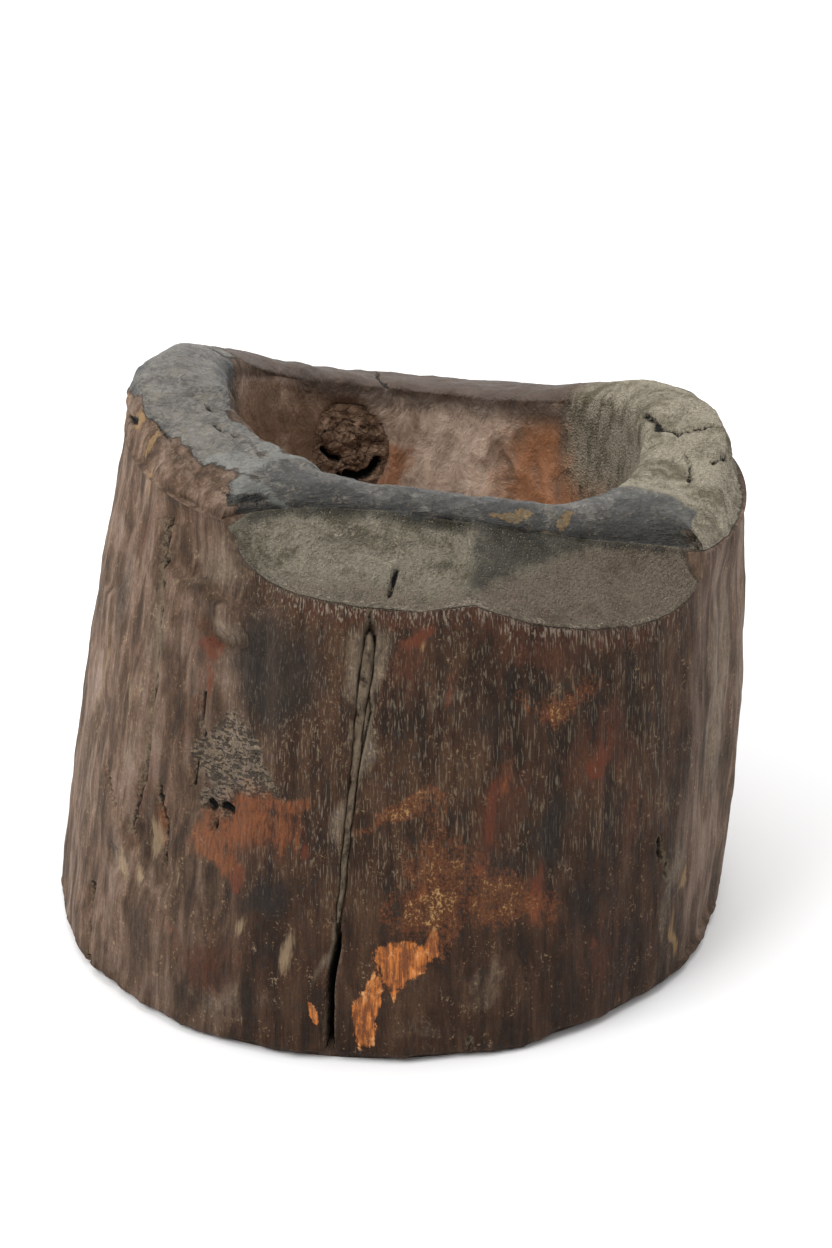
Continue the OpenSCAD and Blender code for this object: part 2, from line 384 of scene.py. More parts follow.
@dataclass(frozen=True)
class AgedBlockWood:
    """Dark, stained, partly polished and partly rotten wood of the block."""

    dark: Colour = linear("2d2219")
    brown: Colour = linear("69503d")
    grey_brown: Colour = linear("82746a")
    deep: Colour = linear("a28970")
    # colour of the rust stains and of the painted shadow under the adze cuts
    rust_and_shadow: Colour = linear("472718")
    scarlet: Colour = linear("62301c")
    orange: Colour = linear("784526")
    amber: Colour = linear("c47434")
    amber_light: Colour = linear("dca672")
    gold: Colour = linear("b08856")
    black: Colour = linear("242320")
    dust: Colour = linear("857863")
    splinter: Colour = linear("a08a6c")
    ochre: Colour = linear("98794e")
    band: Colour = linear("22231f")
    # lighter band colour for wear and for the painted highlight on the rim's top
    band_worn_and_highlight: Colour = linear("5f5b53")
    # pale blue-grey of the painted highlight along the raised fold
    ridge: Colour = linear("747671")
    end_grain: Colour = linear("7b7465")
    end_grain_dark: Colour = linear("514b3c")
    end_grain_brown: Colour = linear("594a3e")
    end_grain_pale: Colour = linear("a39784")
    bowl: Colour = linear("735844")
    # paler tone of the painted light on the back wall, and of pale patches
    bowl_painted_light: Colour = linear("b09a88")
    # dark tone of the painted shade in the bowl
    bowl_painted_shade: Colour = linear("3a2e26")
    bowl_warm: Colour = linear("925f3c")
    # near black painted inside splits and holes as painted shade
    hollow_shade: Colour = linear("0b0908")

    def material(self) -> bpy.types.Material:
        """Builds the finish from the masks painted on the block."""
        t = BlockTree()
        colour, height = self._wall(t)
        colour, height = self._stains(t, colour, height)
        colour, height = self._decay(t, colour, height)
        colour, height = self._end_grain(t, colour, height)
        colour, height, gloss = self._band(t, colour, height)
        colour, height, sheen = self._bowl(t, colour, height)
        colour, height = self._cracks(t, colour, height)
        normal = t.relief(height)
        dull = t.surface(colour, (0.62 + 0.3 * t.mottle.spread(1.6)).clamp(), normal, 0.25)
        rough = (0.24 + 0.3 * t.mottle.spread(1.6) + 0.12 * t.lump).clamp()
        satin = t.surface(colour, rough, normal, 0.6)
        return t.finish(t.mix(gloss.most(sheen), dull, satin))

    def _wall(self, t: BlockTree) -> tuple[Value, Value]:
        """Bare wall wood: soft brown and grey tones with dusty upright pore lines, brightened on the left
        side as a painted highlight and a little on the flat facet.
        """
        tone = (t.streak - 0.5) * 1.6 + (t.lump - 0.5) * 1.2 + (t.ragged - 0.5) * 0.8
        colour = t.blend((tone + 0.5).step(-0.1, 1.1), self.dark, self.brown)
        haze = (t.lump.spread(2.0) * 0.5 + t.streak.spread(2.0) * 0.5).step(0.4, 0.9)
        colour = t.blend(haze * 0.6, colour, self.grey_brown)
        colour = t.brighten(colour, 0.66 + 0.68 * t.fibre.spread(1.7))
        colour = t.brighten(colour, 0.76 + 0.48 * t.crumb.spread(1.8))
        # painted highlight: the left side of the wall is brightened, and the flat facet a little
        colour = t.brighten(colour, 1.0 + t.mask("left_highlight_and_pale_facet"))
        colour = t.tint(t.mask("deep"), colour, self.deep)
        area = (t.lump.spread(2.0) + t.mask("pores") - 0.5).step(0.2, 0.8)
        pore = t.hair.step(0.56, 0.64) * area * (1.0 - t.mask("smoothed"))
        colour = t.blend(pore * 0.38, colour, self.dust)
        crumbs = (t.crumb - 0.5 + (t.ragged - 0.5) * 0.7).step(0.14, 0.24)
        colour = t.blend(crumbs * 0.45, colour, self.splinter)
        height = t.fibre * 0.3 - t.hair * 0.3 + t.mottle * 0.5 + t.streak * 0.4 + t.crumb * 0.25
        return colour, height

    def _stains(self, t: BlockTree, colour: Value, height: Value) -> tuple[Value, Value]:
        """Painted stains, frayed at their edges and along the fibre; the black and rust layers also hold
        the painted shadow under the adze cuts' lower edge, and small pits are darkened as painted shade.
        """
        inner = 0.3 + 0.4 * t.mottle.spread(1.8) + 0.4 * t.fibre.spread(1.8)
        uneven = 0.4 + 0.7 * t.fibre.spread(1.7) + 0.5 * t.crumb.spread(1.7)
        # painted shade: small pits on the front are darkened toward black
        pit_shade = (t.mottle + (t.crumb - 0.5) * 0.8 + (t.ragged - 0.5) * 0.5).step(0.4, 0.28)
        colour = t.blend(pit_shade * t.mask("deep") * 0.55, colour, self.black)
        colour = t.blend(t.stain("black", 0.4) * 0.75, colour, t.brighten(colour, 0.45))
        colour = t.blend(t.stain("black", 0.3) * 0.4, colour, self.black)
        rust_and_shadow_tone, glowing = (t.brighten(t.rgb(c), uneven) for c in (self.rust_and_shadow, self.orange))
        # rust stains, and the painted shadow under the adze cuts' lower edge
        colour = t.blend(t.stain("rust_and_shadow", 0.5) * inner * 0.85, colour, rust_and_shadow_tone)
        colour = t.blend(t.stain("orange", 0.6) * inner * 0.8, colour, glowing)
        colour = t.blend(t.stain("scarlet", 0.6, 0.3) * inner * 0.8, colour, self.scarlet)
        amber = (t.stain("amber", 0.15, 0.12) + t.mask("amber").step(0.6, 0.9)).clamp()
        glow = t.blend((t.ragged + (t.fibre - 0.5) * 0.9).step(0.4, 0.66), self.orange, self.amber)
        glow = t.blend((t.mottle + (t.ragged - 0.5) * 0.9).step(0.55, 0.75) * 0.75, glow, self.amber_light)
        soot = (t.crumb + (t.ragged - 0.5) * 0.8).step(0.42, 0.3)
        glow = t.blend(soot * 0.5, glow, self.rust_and_shadow)
        colour = t.blend(amber * 0.93, colour, glow)
        crust = t.mask("gold") * 0.3 + t.crumb.spread(2.2) * 0.5 + t.ragged.spread(2.0) * 0.5
        inside = t.mask("gold").step(0.02, 0.3)
        gold = crust.step(0.84, 0.97) * inside
        colour = t.blend(crust.step(0.5, 0.85) * inside * 0.5, colour, self.orange)
        colour = t.blend(gold * 0.8, colour, self.gold)
        pale = t.stain("pale", 0.85)
        colour = t.blend(pale * 0.5, colour, self.splinter)
        colour = t.blend(t.stain("ochre", 0.8) * inner * 0.8, colour, self.ochre)
        return colour, height + gold * 0.3 + pale * 0.2 - amber * 0.5 + amber * t.fibre * 0.3

    def _decay(self, t: BlockTree, colour: Value, height: Value) -> tuple[Value, Value]:
        """Packed dust and the crumbling honeycomb of rotten wood, whose holes are painted black as painted
        shade.
        """
        dust = t.blend((t.mottle + (t.weave - 0.4) * 0.4).step(0.36, 0.66), self.grey_brown, self.dust)
        dust = t.brighten(dust, 0.45 + 0.9 * t.crumb.spread(1.8))
        colour = t.blend(t.stain("dust", 0.3, 0.7) * 0.6, colour, dust)
        rot = t.stain("rot", 0.1, 0.3)
        web = t.cloud((3.0, 3.0, 1.0), 4, 15.0, 0.8, 0.62) + (t.crumb - 0.5) * 0.4
        # painted shade: the holes of the honeycomb are painted black
        hole_shade = rot * web.step(0.5, 0.38)
        colour = t.blend(rot * 0.5, colour, dust)
        colour = t.blend(hole_shade * 0.6, colour, self.black)
        return colour, height - hole_shade * 1.2 + rot * t.crumb * 0.3

    def _end_grain(self, t: BlockTree, colour: Value, height: Value) -> tuple[Value, Value]:
        """Rough olive-grey end grain on the adze cuts and the right shoulder, with a painted shadow under
        the band and a painted highlight along the left scoop's step.
        """
        share = t.fringed("end_grain", 0.35, 0.6, ragged=0.6, crumb=0.3)
        tone = t.blend((t.lump + t.ragged - 0.5).step(0.25, 0.6), self.end_grain_dark, self.end_grain)
        brown = t.fringed("scoop_brown", 0.2, 0.9, ragged=1.6, crumb=1.0)
        tone = t.blend(brown * 0.7, tone, self.end_grain_brown)
        # charcoal on the right scoop's top, and a painted shadow just under the band
        black = t.fringed("scoop_black_and_band_shadow", 0.3, 0.9, ragged=1.8, crumb=1.0)
        tone = t.blend(black * 0.75, tone, self.band)
        tone = t.brighten(tone, 0.5 + t.crumb.spread(1.8))
        tone = t.brighten(tone, 0.85 + 0.3 * t.mottle.spread(1.5))
        tone = t.brighten(tone, 1.0 + 0.6 * t.mask("weathered"))
        speck = (t.weave + (t.mottle - 0.5) * 0.8).step(0.3, 0.12)
        tone = t.blend(speck * 0.35, tone, self.end_grain_pale)
        # frayed end grain, and the pale painted highlight along the left scoop's step
        fray_and_step_highlight = t.fringed("fray_and_step_highlight", 0.5, 0.9, crumb=2.0, ragged=1.2)
        tone = t.blend(fray_and_step_highlight * 0.5, tone, self.end_grain_pale)
        strand = t.fringed("strands", 0.6, 1.0, hair=3.4, ragged=0.8)
        colour = t.blend(strand * 0.38, colour, self.end_grain_pale)
        grain_height = 0.5 * t.weave.step(0.1, 0.6) + 1.0 * t.mottle + 1.4 * t.ragged + 0.7 * t.crumb
        return t.blend(share, colour, tone), height + share * grain_height + fray_and_step_highlight * 0.3 + strand * 0.2

    def _band(self, t: BlockTree, colour: Value, height: Value) -> tuple[Value, Value, Value]:
        """Charcoal polish on the rim, lighter on top from wear and a painted highlight that is strongest on
        the left horn, with a pale painted highlight along the raised fold and dusty scuffs.
        """
        share = t.fringed("band", 0.35, 0.65, ragged=0.8, crumb=0.5)
        scuff = t.cloud((2.6, 2.6, 0.8), 4, 33.0, 1.4, 0.66)
        # the rim's top is painted lighter, partly wear and partly a painted highlight, strongest on the
        # left horn
        wear_and_highlight = (t.mask("crest") * 1.3 + (t.lump - 0.5) * 2.2 + (scuff - 0.5) * 1.6).step(0.2, 1.3)
        tone = t.blend(wear_and_highlight, self.band, self.band_worn_and_highlight)
        sooty = (t.lump * 0.6 + t.ragged * 0.5 + (t.crumb - 0.5) * 0.5).step(0.62, 0.5)
        tone = t.brighten(tone, 0.35 + 1.3 * scuff.spread(2.2) - 0.35 * sooty)
        crumbs = ((t.crumb - 0.5) * 1.2 + (t.ragged - 0.5)).step(0.12, 0.26)
        tone = t.blend(crumbs * 0.4, tone, self.dust)
        # painted highlight: the raised fold is painted pale blue-grey along its length
        ridge = (t.mask("ridge") + (scuff - 0.5) * 0.8).step(0.3, 0.9)
        tone = t.blend(ridge * 0.45, tone, self.ridge)
        torn = (t.mask("torn") + (scuff - 0.5) * 1.8 + (t.crumb - 0.5) * 0.8).step(0.5, 0.62)
        flaked = t.blend(t.mottle.step(0.4, 0.6), self.dust, self.ochre)
        tone = t.blend(torn * 0.65, tone, t.brighten(flaked, 0.5 + 0.7 * t.crumb.spread(1.8)))
        smooth_height = scuff * 0.9 + t.ragged * 1.5 + t.lump * 1.5 - torn * 0.7
        mixed = t.add("ShaderNodeMix", {"data_type": "FLOAT"}, {0: share, 2: height, 3: smooth_height})
        gloss = share * (0.95 - 0.5 * crumbs) * (1.0 - torn)
        return t.blend(share * 0.95, colour, tone), mixed, gloss

    def _bowl(self, t: BlockTree, colour: Value, height: Value) -> tuple[Value, Value, Value]:
        """Inside of the bowl: smooth brown with paler patches, lighter on the middle of the back wall as
        painted light, and darker on the left, the floor, under the back rim and on the back edge as painted
        shade.
        """
        share = t.fringed("bowl", 0.15, 0.85, ragged=0.6)
        crease = t.cloud((7, 7, 9), 5, 43.0, 0.7, 0.6)
        # paler patches, and painted light on the middle of the back wall
        scour_and_light = (t.mask("bowl_painted_light") + (t.lump - 0.5) * 2.0 + (crease - 0.5) * 1.8).step(0.1, 1.1)
        tone = t.blend(scour_and_light, self.bowl, self.bowl_painted_light)
        warm = (t.mask("bowl_warm") + (t.ragged - 0.5) * 1.6 + (crease - 0.5) * 1.4).step(0.2, 1.1)
        tone = t.blend(warm * 0.8, tone, self.bowl_warm)
        # painted shade on the left, on the floor, under the back rim and on its edge
        shade = (t.mask("bowl_painted_shade") + (t.ragged - 0.5) * 1.0 + (crease - 0.5) * 1.0).step(0.2, 1.0)
        tone = t.blend(shade * 0.85, tone, self.bowl_painted_shade)
        tone = t.brighten(tone, 0.66 + 0.68 * crease.spread(1.7))
        tone = t.brighten(tone, 0.84 + 0.32 * t.mottle.spread(1.5))
        smooth_height = crease * 1.2 + t.ragged * 0.9 + t.mottle * 0.4
        mixed = t.add("ShaderNodeMix", {"data_type": "FLOAT"}, {0: share, 2: height, 3: smooth_height})
        return t.blend(share, colour, tone), mixed, share * 0.5

    def _cracks(self, t: BlockTree, colour: Value, height: Value) -> tuple[Value, Value]:
        """Splits and holes painted near black as painted shade inside them, with a little pale dust along
        their lips; the same black paints the shadow crescent below the knot.
        """
        gap = t.mask("gap") + (t.mottle - 0.5) * 1.4 + (t.ragged - 0.5) * 0.8
        lips = gap.step(1.6, 0.4) * (t.crumb + t.mask("dust") * 0.3).step(0.45, 0.65)
        colour = t.blend(lips * 0.4, colour, self.dust)
        # painted shade: near black inside splits, holes and the knot's socket
        colour = t.blend(gap.step(0.45, -0.05), colour, self.hollow_shade)
        return colour, height - gap.step(0.5, -0.3) * 1.2


@dataclass(frozen=True)
class CrumblyWood:
    """Dry, cracked wood of the dead knot, with painted shade darkening its cracks."""

    dark: Colour = linear("6a5340")
    brown: Colour = linear("9c7e68")
    dust: Colour = linear("a99378")
    hollow_shade: Colour = linear("0a0807")

    def material(self) -> bpy.types.Material:
        """Builds the finish."""
        t = Tree("crumbly_wood")
        lump = t.cloud((5, 5, 5), 5, 3.0, 1.0, 0.65)
        colour = t.blend(lump.step(0.35, 0.65), self.dark, self.brown)
        fine = t.cloud((0.9, 0.9, 0.9), 4, 4.0, 0.4, 0.7)
        colour = t.brighten(colour, 0.55 + 0.85 * fine)
        # painted shade: the cell cracks are darkened and the knot's own cracks painted near black
        crack = t.cells((4.2, 4.2, 3.2), "DISTANCE_TO_EDGE", 1.0) + (fine - 0.5) * 0.25
        colour = t.blend(crack.step(0.06, 0.0) * 0.6, colour, self.dark)
        colour = t.blend(lump.step(0.6, 0.75) * 0.5, colour, self.dust)
        gap = t.mask("gap") + (fine - 0.5) * 1.6
        colour = t.blend(gap.step(0.5, 0.0), colour, self.hollow_shade)
        height = lump * 1.6 + fine * 0.7 + crack.step(0.0, 0.12) * 0.7
        return t.finish(t.surface(colour, 0.85 + 0.1 * (fine - 0.5), t.relief(height), 0.2))


@dataclass(frozen=True)
class PackedDust:
    """Grey dust and fibre packed in the split, with its pits painted near black as painted shade."""

    dark: Colour = linear("453a2f")
    grey: Colour = linear("716352")
    pale: Colour = linear("988974")
    hollow_shade: Colour = linear("14100c")

    def material(self) -> bpy.types.Material:
        """Builds the finish."""
        t = Tree("packed_dust")
        lump = t.cloud((2.4, 2.4, 4.5), 5, 5.0, 0.5, 0.65)
        fine = t.cloud((0.6, 0.6, 1.6), 4, 6.0, 0.6, 0.7)
        colour = t.blend(lump.step(0.35, 0.62), self.dark, self.grey)
        colour = t.blend(fine.step(0.55, 0.7) * 0.6, colour, self.pale)
        # painted shade: pits painted near black
        pit_shade = (lump + (fine - 0.5) * 0.6).step(0.36, 0.28)
        colour = t.blend(pit_shade * 0.8, colour, self.hollow_shade)
        height = lump * 1.6 + fine * 0.8 - pit_shade * 1.0
        return t.finish(t.surface(colour, 0.92 + 0.05 * (fine - 0.5), t.relief(height), 0.15))


@dataclass(frozen=True)
class HandledWood:
    """Smooth brown wood of the pestle, darker where it is held and scuffed where it grinds."""

    dark: Colour = linear("4a3122")
    brown: Colour = linear("7c5636")
    pale: Colour = linear("a9875c")

    def material(self) -> bpy.types.Material:
        """Builds the finish; the pestle carries its own lengthwise mask."""
        t = Tree("handled_wood")
        along = t.mask("along")
        streak = t.cloud((3.0, 3.0, 3.0), 4, 2.0, 1.5)
        ring = t.add(
            "ShaderNodeTexWave",
            {"wave_type": "BANDS", "bands_direction": "X"},
            {
                "Vector": t.scale(t.place, (0.16, 0.05, 0.02)),
                "Scale": 1.0,
                "Distortion": 5.0,
                "Detail": 3.0,
            },
            output="Fac",
        )
        colour = t.blend((ring * 0.14 + streak * 0.9).step(0.3, 0.8), self.dark, self.brown)
        fibre = t.cloud((0.6, 0.6, 5.0), 3, 3.0, 0.6)
        colour = t.brighten(colour, 0.7 + 0.6 * fibre)
        scuffed = (along.step(0.28, 0.05) + (streak - 0.5) * 0.8).step(0.3, 0.8)
        colour = t.blend(scuffed * 0.6, colour, self.pale)
        colour = t.blend(along.step(0.5, 0.95) * 0.35, colour, self.dark)
        rough = 0.5 + 0.3 * scuffed + 0.12 * (fibre - 0.5)
        height = fibre * 0.3 + streak * 0.5 + scuffed * 0.3
        return t.finish(t.surface(colour, rough.clamp(), t.relief(height), 0.4))


# ---------------------------------------------------------------------- carved shape


class Zone(Enum):
    """Stretches of the block's profile, from the underside to the bowl floor."""

    UNDER = 0
    FOOT = 1
    WALL = 2
    CHAMFER = 3
    SHOULDER = 4
    LIP = 5
    BOWL = 6


class Sector(Enum):
    """Sectors round the block: middle, half width to nothing and half width in full."""

    RIGHT = (5, 58, 32)
    DISH = (350, 24, 12)
    NOTCH = (348, 11, 8)
    OVERHANG = (188, 14, 7)
    BOWL_POLISH = (208, 66, 26)
    BACK_RIM = (80, 84, 66)
    BARE_RIM = (5, 48, 26)
    FRONT = (284, 52, 26)
    LEFT_HORN = (188, 56, 24)
    FRONT_LEFT = (240, 40, 10)
    PORES = (277, 48, 30)
    LEFT = (202, 40, 10)
    FACET = (335, 22, 8)
    BOWL_BACK = (70, 84, 46)
    BOWL_LEFT = (150, 46, 16)
    BOWL_MIDDLE = (86, 34, 6)
    BOWL_WARM = (46, 34, 6)
    BACK_EDGE = (80, 82, 68)


@dataclass
class CarvedShape:
    """The block's carved form as functions of the angle round it, in millimetres."""

    rim_height: float = 144.4
    foot_width: float = 200.0
    foot_depth: float = 218.0
    head_width: float = 174.0
    head_depth: float = 188.0
    lean: float = 13.0
    set_forward: float = 4.0
    belly: float = 2.0
    foot_round: float = 4.0
    shoulder_side: float = 14.0
    shoulder_front: float = 30.0
    shoulder_drop: float = 12.5
    horn_rise: float = 9.2
    saddle_rise: float = 8.2
    lip_width: float = 9.0
    lip_drop: float = 5.0
    bowl_depth: float = 92.0
    bowl_fullness: float = 0.6
    floor_lean: float = 0.4
    chamfer_depth: float = 26.0
    chamfer_angle: float = 277.0
    chamfer_half: float = 43.0
    scoops: tuple[tuple[float, float, float], ...] = ((260.0, 23.0, 15.0), (296.0, 25.0, 16.0))
    scoop_sag: float = 2.5

    @property
    def head_height(self) -> float:
        """Height where the head outline is measured."""
        return self.rim_height - 4.4

    @property
    def floor_z(self) -> float:
        """Height of the bowl floor."""
        return self.rim_height - self.bowl_depth

    def foot_radius(self, t: np.ndarray) -> np.ndarray:
        """Radius of the foot outline."""
        mid, oval = (self.foot_width + self.foot_depth) / 4, (self.foot_width - self.foot_depth) / 4
        return mid + wave(t, 2, oval, 0) + wave(t, 3, 1.0, 100)

    def head_radius(self, t: np.ndarray) -> np.ndarray:
        """Radius of the wall just under the rim."""
        mid, oval = (self.head_width + self.head_depth) / 4, (self.head_width - self.head_depth) / 4
        return mid + wave(t, 2, oval, 0) + wave(t, 3, -1.5, 30)

    def crest_radius(self, t: np.ndarray) -> np.ndarray:
        """Radius of the rim crest round the bowl axis."""
        a = self.head_width / 2 - self.shoulder_side
        b = self.head_depth / 2 - self.shoulder_front
        return (a + b) / 2 + wave(t, 2, (a - b) / 2, 0)

    def crest_z(self, t: np.ndarray) -> np.ndarray:
        """Height of the rim crest."""
        return (
            self.rim_height
            + wave(t, 1, self.horn_rise, -155)
            + wave(t, 2, self.saddle_rise, 6)
            + wave(t, 3, 2.0, 32)
            + wave(t, 4, 1.6, 6)
        )

    def lip_span(self, t: np.ndarray) -> np.ndarray:
        """Width of the lip that rolls into the bowl."""
        return self.lip_width + wave(t, 2, 5.0, 0)

    def lip_fall(self, t: np.ndarray) -> np.ndarray:
        """Depth of that lip below the crest."""
        return self.lip_drop + wave(t, 2, 3.0, 0)

    def wall_top(self, t: np.ndarray) -> np.ndarray:
        """Height where the wall or the chamfer meets the shoulder."""
        return self.crest_z(t) - (self.shoulder_drop + wave(t, 2, 4.5, 0) + wave(t, 1, 4.0, 90))

    def chamfer_cut(self, t: np.ndarray) -> np.ndarray:
        """Depth of the front chamfer."""
        f = np.abs(turn(t, self.chamfer_angle)) / self.chamfer_half
        return self.chamfer_depth * np.sqrt(np.clip(1 - f**4, 0, None))

    def scoop_fall(self, t: np.ndarray) -> np.ndarray:
        """Height of the two adze scoops below the band."""
        fall = 0.2 * self.chamfer_cut(t)
        for centre, half, height in self.scoops:
            hump = np.sqrt(np.clip(1 - (turn(t, centre) / half) ** 2, 0, None))
            fall = np.maximum(fall, height * hump**0.7)
        return fall

    def wall_point(self, t: np.ndarray, z: np.ndarray, push: np.ndarray | float = 0.0) -> np.ndarray:
        """Point on the outer wall.

        Args:
            t: Angles in degrees.
            z: Heights.
            push: How far the point is pushed in.

        Returns:
            The points; their last axis is x, y, z.
        """
        f = z / self.head_height
        r = self.foot_radius(t) * (1 - f) + self.head_radius(t) * f
        r = r + self.belly * np.sin(np.pi * np.clip(f, 0, 1)) - push
        a = np.radians(t)
        return np.stack([self.lean * f + r * np.cos(a), -self.set_forward + r * np.sin(a), z + 0 * r], -1)

    def bowl_point(self, t: np.ndarray, a: np.ndarray, push: np.ndarray | float = 0.0) -> np.ndarray:
        """Point on the bowl wall.

        Args:
            t: Angles in degrees.
            a: Profile angles in degrees, 0 at the mouth and 90 at the floor.
            push: How far the point is pushed outward.

        Returns:
            The points; their last axis is x, y, z.
        """
        c, s = np.cos(np.radians(a)), np.sin(np.radians(a))
        mouth = self.crest_radius(t) - self.lip_span(t)
        r = mouth * np.clip(c, 0, None) ** self.bowl_fullness + push
        top = self.crest_z(t) - self.lip_fall(t)
        u = np.radians(t)
        x = self.lean * (self.floor_lean + (1 - self.floor_lean) * c) + r * np.cos(u)
        return np.stack([x, c + r * np.sin(u), top + (self.floor_z - top) * s], -1)


# ------------------------------------------------------------------------- features


@dataclass(frozen=True)
class Patch:
    """A patch on the block that fades from its middle, for a stain or a shallow cut."""

    angle: float
    height: float
    half_width: float
    half_height: float
    strength: float = 1.0


@dataclass(frozen=True)
class Crack:
    """A split along a path of (angle, height) points."""

    path: tuple[tuple[float, float], ...]
    half_width: float
    depth: float


@dataclass(frozen=True)
class RimCrack:
    """A split in the rim along a path of (angle, radius) points."""

    path: tuple[tuple[float, float], ...]
    half_width: float


@dataclass(frozen=True)
class Scar:
    """A flake struck off the wall, deepest at its sharp lower edge."""

    angle: float
    low: float
    half_width: float
    height: float
    depth: float


def patches(*rows: tuple[float, float, float, float, float]) -> tuple[Patch, ...]:
    """Patches from rows of angle, height, half width, half height and strength."""
    return tuple(Patch(*row) for row in rows)


STAINS: dict[str, tuple[Patch, ...]] = {
    "black": patches(
        (247, 106, 19, 22, 1.0), (249, 44, 14, 8, 0.8), (281, 58, 13, 15, 0.9), (292, 62, 14, 18, 0.8),
        (299, 42, 14, 20, 0.6), (280, 92, 20, 14, 0.6), (297, 94, 16, 10, 0.5), (210, 112, 9, 24, 0.6),
        (219, 44, 5, 20, 0.7), (20, 60, 30, 30, 0.6), (100, 36, 40, 22, 0.7), (160, 100, 26, 30, 0.6),
    ),
    "rust_and_shadow": patches(
        (267, 112, 9, 16, 0.9), (288, 112, 30, 8, 0.8), (299, 82, 20, 18, 0.9), (283, 74, 10, 22, 0.9),
        (246, 64, 24, 17, 1.0), (233, 98, 8, 32, 0.8), (213, 130, 9, 16, 0.7), (290, 44, 12, 20, 0.9),
        (302, 24, 16, 22, 0.7), (240, 22, 26, 18, 0.7), (224, 60, 9, 34, 0.6), (307, 60, 10, 34, 0.6),
        (70, 80, 40, 40, 0.6), (140, 40, 36, 34, 0.6),
    ),
    "scarlet": patches(
        (235, 107, 7, 4, 1.1), (235, 99, 3, 9, 0.8), (268, 118, 10, 4, 0.8), (273, 102, 2, 12, 0.7),
        (291, 98, 5, 7, 0.7), (299, 82, 7, 8, 0.8), (282.5, 74, 3, 10, 1.0), (281, 58, 3, 7, 0.7),
        (290, 46, 5, 12, 0.9), (300, 30, 4, 9, 0.6), (242, 51, 5, 6, 0.9), (256, 58, 4, 4, 0.9),
    ),
    "orange": patches(
        (250, 71, 16, 6, 1.0), (246, 62, 22, 10, 0.9), (239, 55, 12, 10, 0.8), (229, 58, 6, 14, 0.7),
        (272, 50, 8, 8, 0.6), (289, 40, 6, 12, 0.7), (284, 80, 4, 8, 0.6), (233, 26, 10, 8, 0.5),
    ),
    "amber": patches(
        (266.8, 15.5, 6.0, 13, 1.1), (270.3, 29, 7.5, 7.5, 1.0), (273.8, 33, 4.0, 5, 0.9),
        (260.2, 16, 2.0, 4, 1.1),
    ),
    "gold": patches(
        (269.5, 70, 10, 3.5, 1.3), (276, 55, 13, 14, 1.0), (282, 47, 11, 11, 1.0), (272, 44, 9, 9, 1.2),
        (275, 38, 7, 8, 1.1), (290, 43, 11, 7, 0.8), (292, 99, 12, 5, 0.7),
    ),
    "pale": patches(
        (228, 52, 3.0, 13, 1.0), (222.5, 40, 3.0, 9, 1.0), (226.5, 36, 3.5, 6, 0.9),
        (254, 31, 5.0, 11, 0.8), (247, 36, 3.5, 7, 0.8), (233, 42, 2.5, 8, 0.8), (206, 82, 3.0, 36, 0.7),
        (216, 84, 2.0, 12, 0.8),
    ),
    "ochre": patches(
        (191, 154, 4.0, 7, 1.1), (199, 150, 2.6, 6, 1.1), (206, 148, 2.2, 6, 1.1), (211, 144, 2.0, 6, 1.0),
        (206, 92, 1.8, 18, 0.8), (321, 27, 2.0, 5, 1.1), (320, 16, 1.2, 10, 0.9), (269, 115, 1.0, 3, 0.8),
    ),
    "dust": patches(
        (260.8, 112, 8, 16, 1.1), (261.5, 92, 6, 14, 0.9), (261, 70, 3.5, 16, 0.9), (261, 36, 2.0, 26, 0.8),
        (234, 131, 20, 15, 0.8), (238, 113, 11, 5, 1.0), (222, 108, 10, 26, 0.7), (220, 78, 7, 40, 0.6),
        (273, 101, 18, 6, 0.6), (333, 76, 15, 52, 1.1), (318, 36, 9, 24, 0.7), (246, 13, 36, 10, 0.6),
        (276, 12, 30, 9, 0.5), (284, 24, 16, 10, 0.6), (206, 60, 10, 60, 0.6), (60, 110, 40, 24, 0.7),
        (120, 120, 30, 20, 0.7), (170, 50, 30, 40, 0.6),
    ),
    "rot": patches(
        (242.5, 77, 15, 14, 1.2), (239, 66, 8, 5, 1.0), (48, 46, 14, 12, 1.1),
    ),
    "torn": patches(
        (286.5, 137.6, 5.5, 1.3, 1.1), (301, 134, 4.5, 2.0, 1.1), (296, 131.5, 6.0, 1.4, 0.9),
    ),
    "fray_and_step_highlight": patches(
        (268.5, 139, 3.4, 5, 0.9), (264, 135, 2.4, 6, 0.7), (251, 137, 5, 4, 0.5),
    ),
}

SPLINTERS = patches((226.5, 46, 9, 15, 1.0), (221, 38, 6, 8, 1.0))
KNOT_HALO = patches((101, 105, 9, 9, 1.0), (104, 98, 9, 8, 1.0))

# Raised fold from the band down beside the left scoop, as (angle, height)
RIDGE_PATH = ((222, 150.5), (230, 149), (236, 145), (242, 138.5), (248, 131.5))

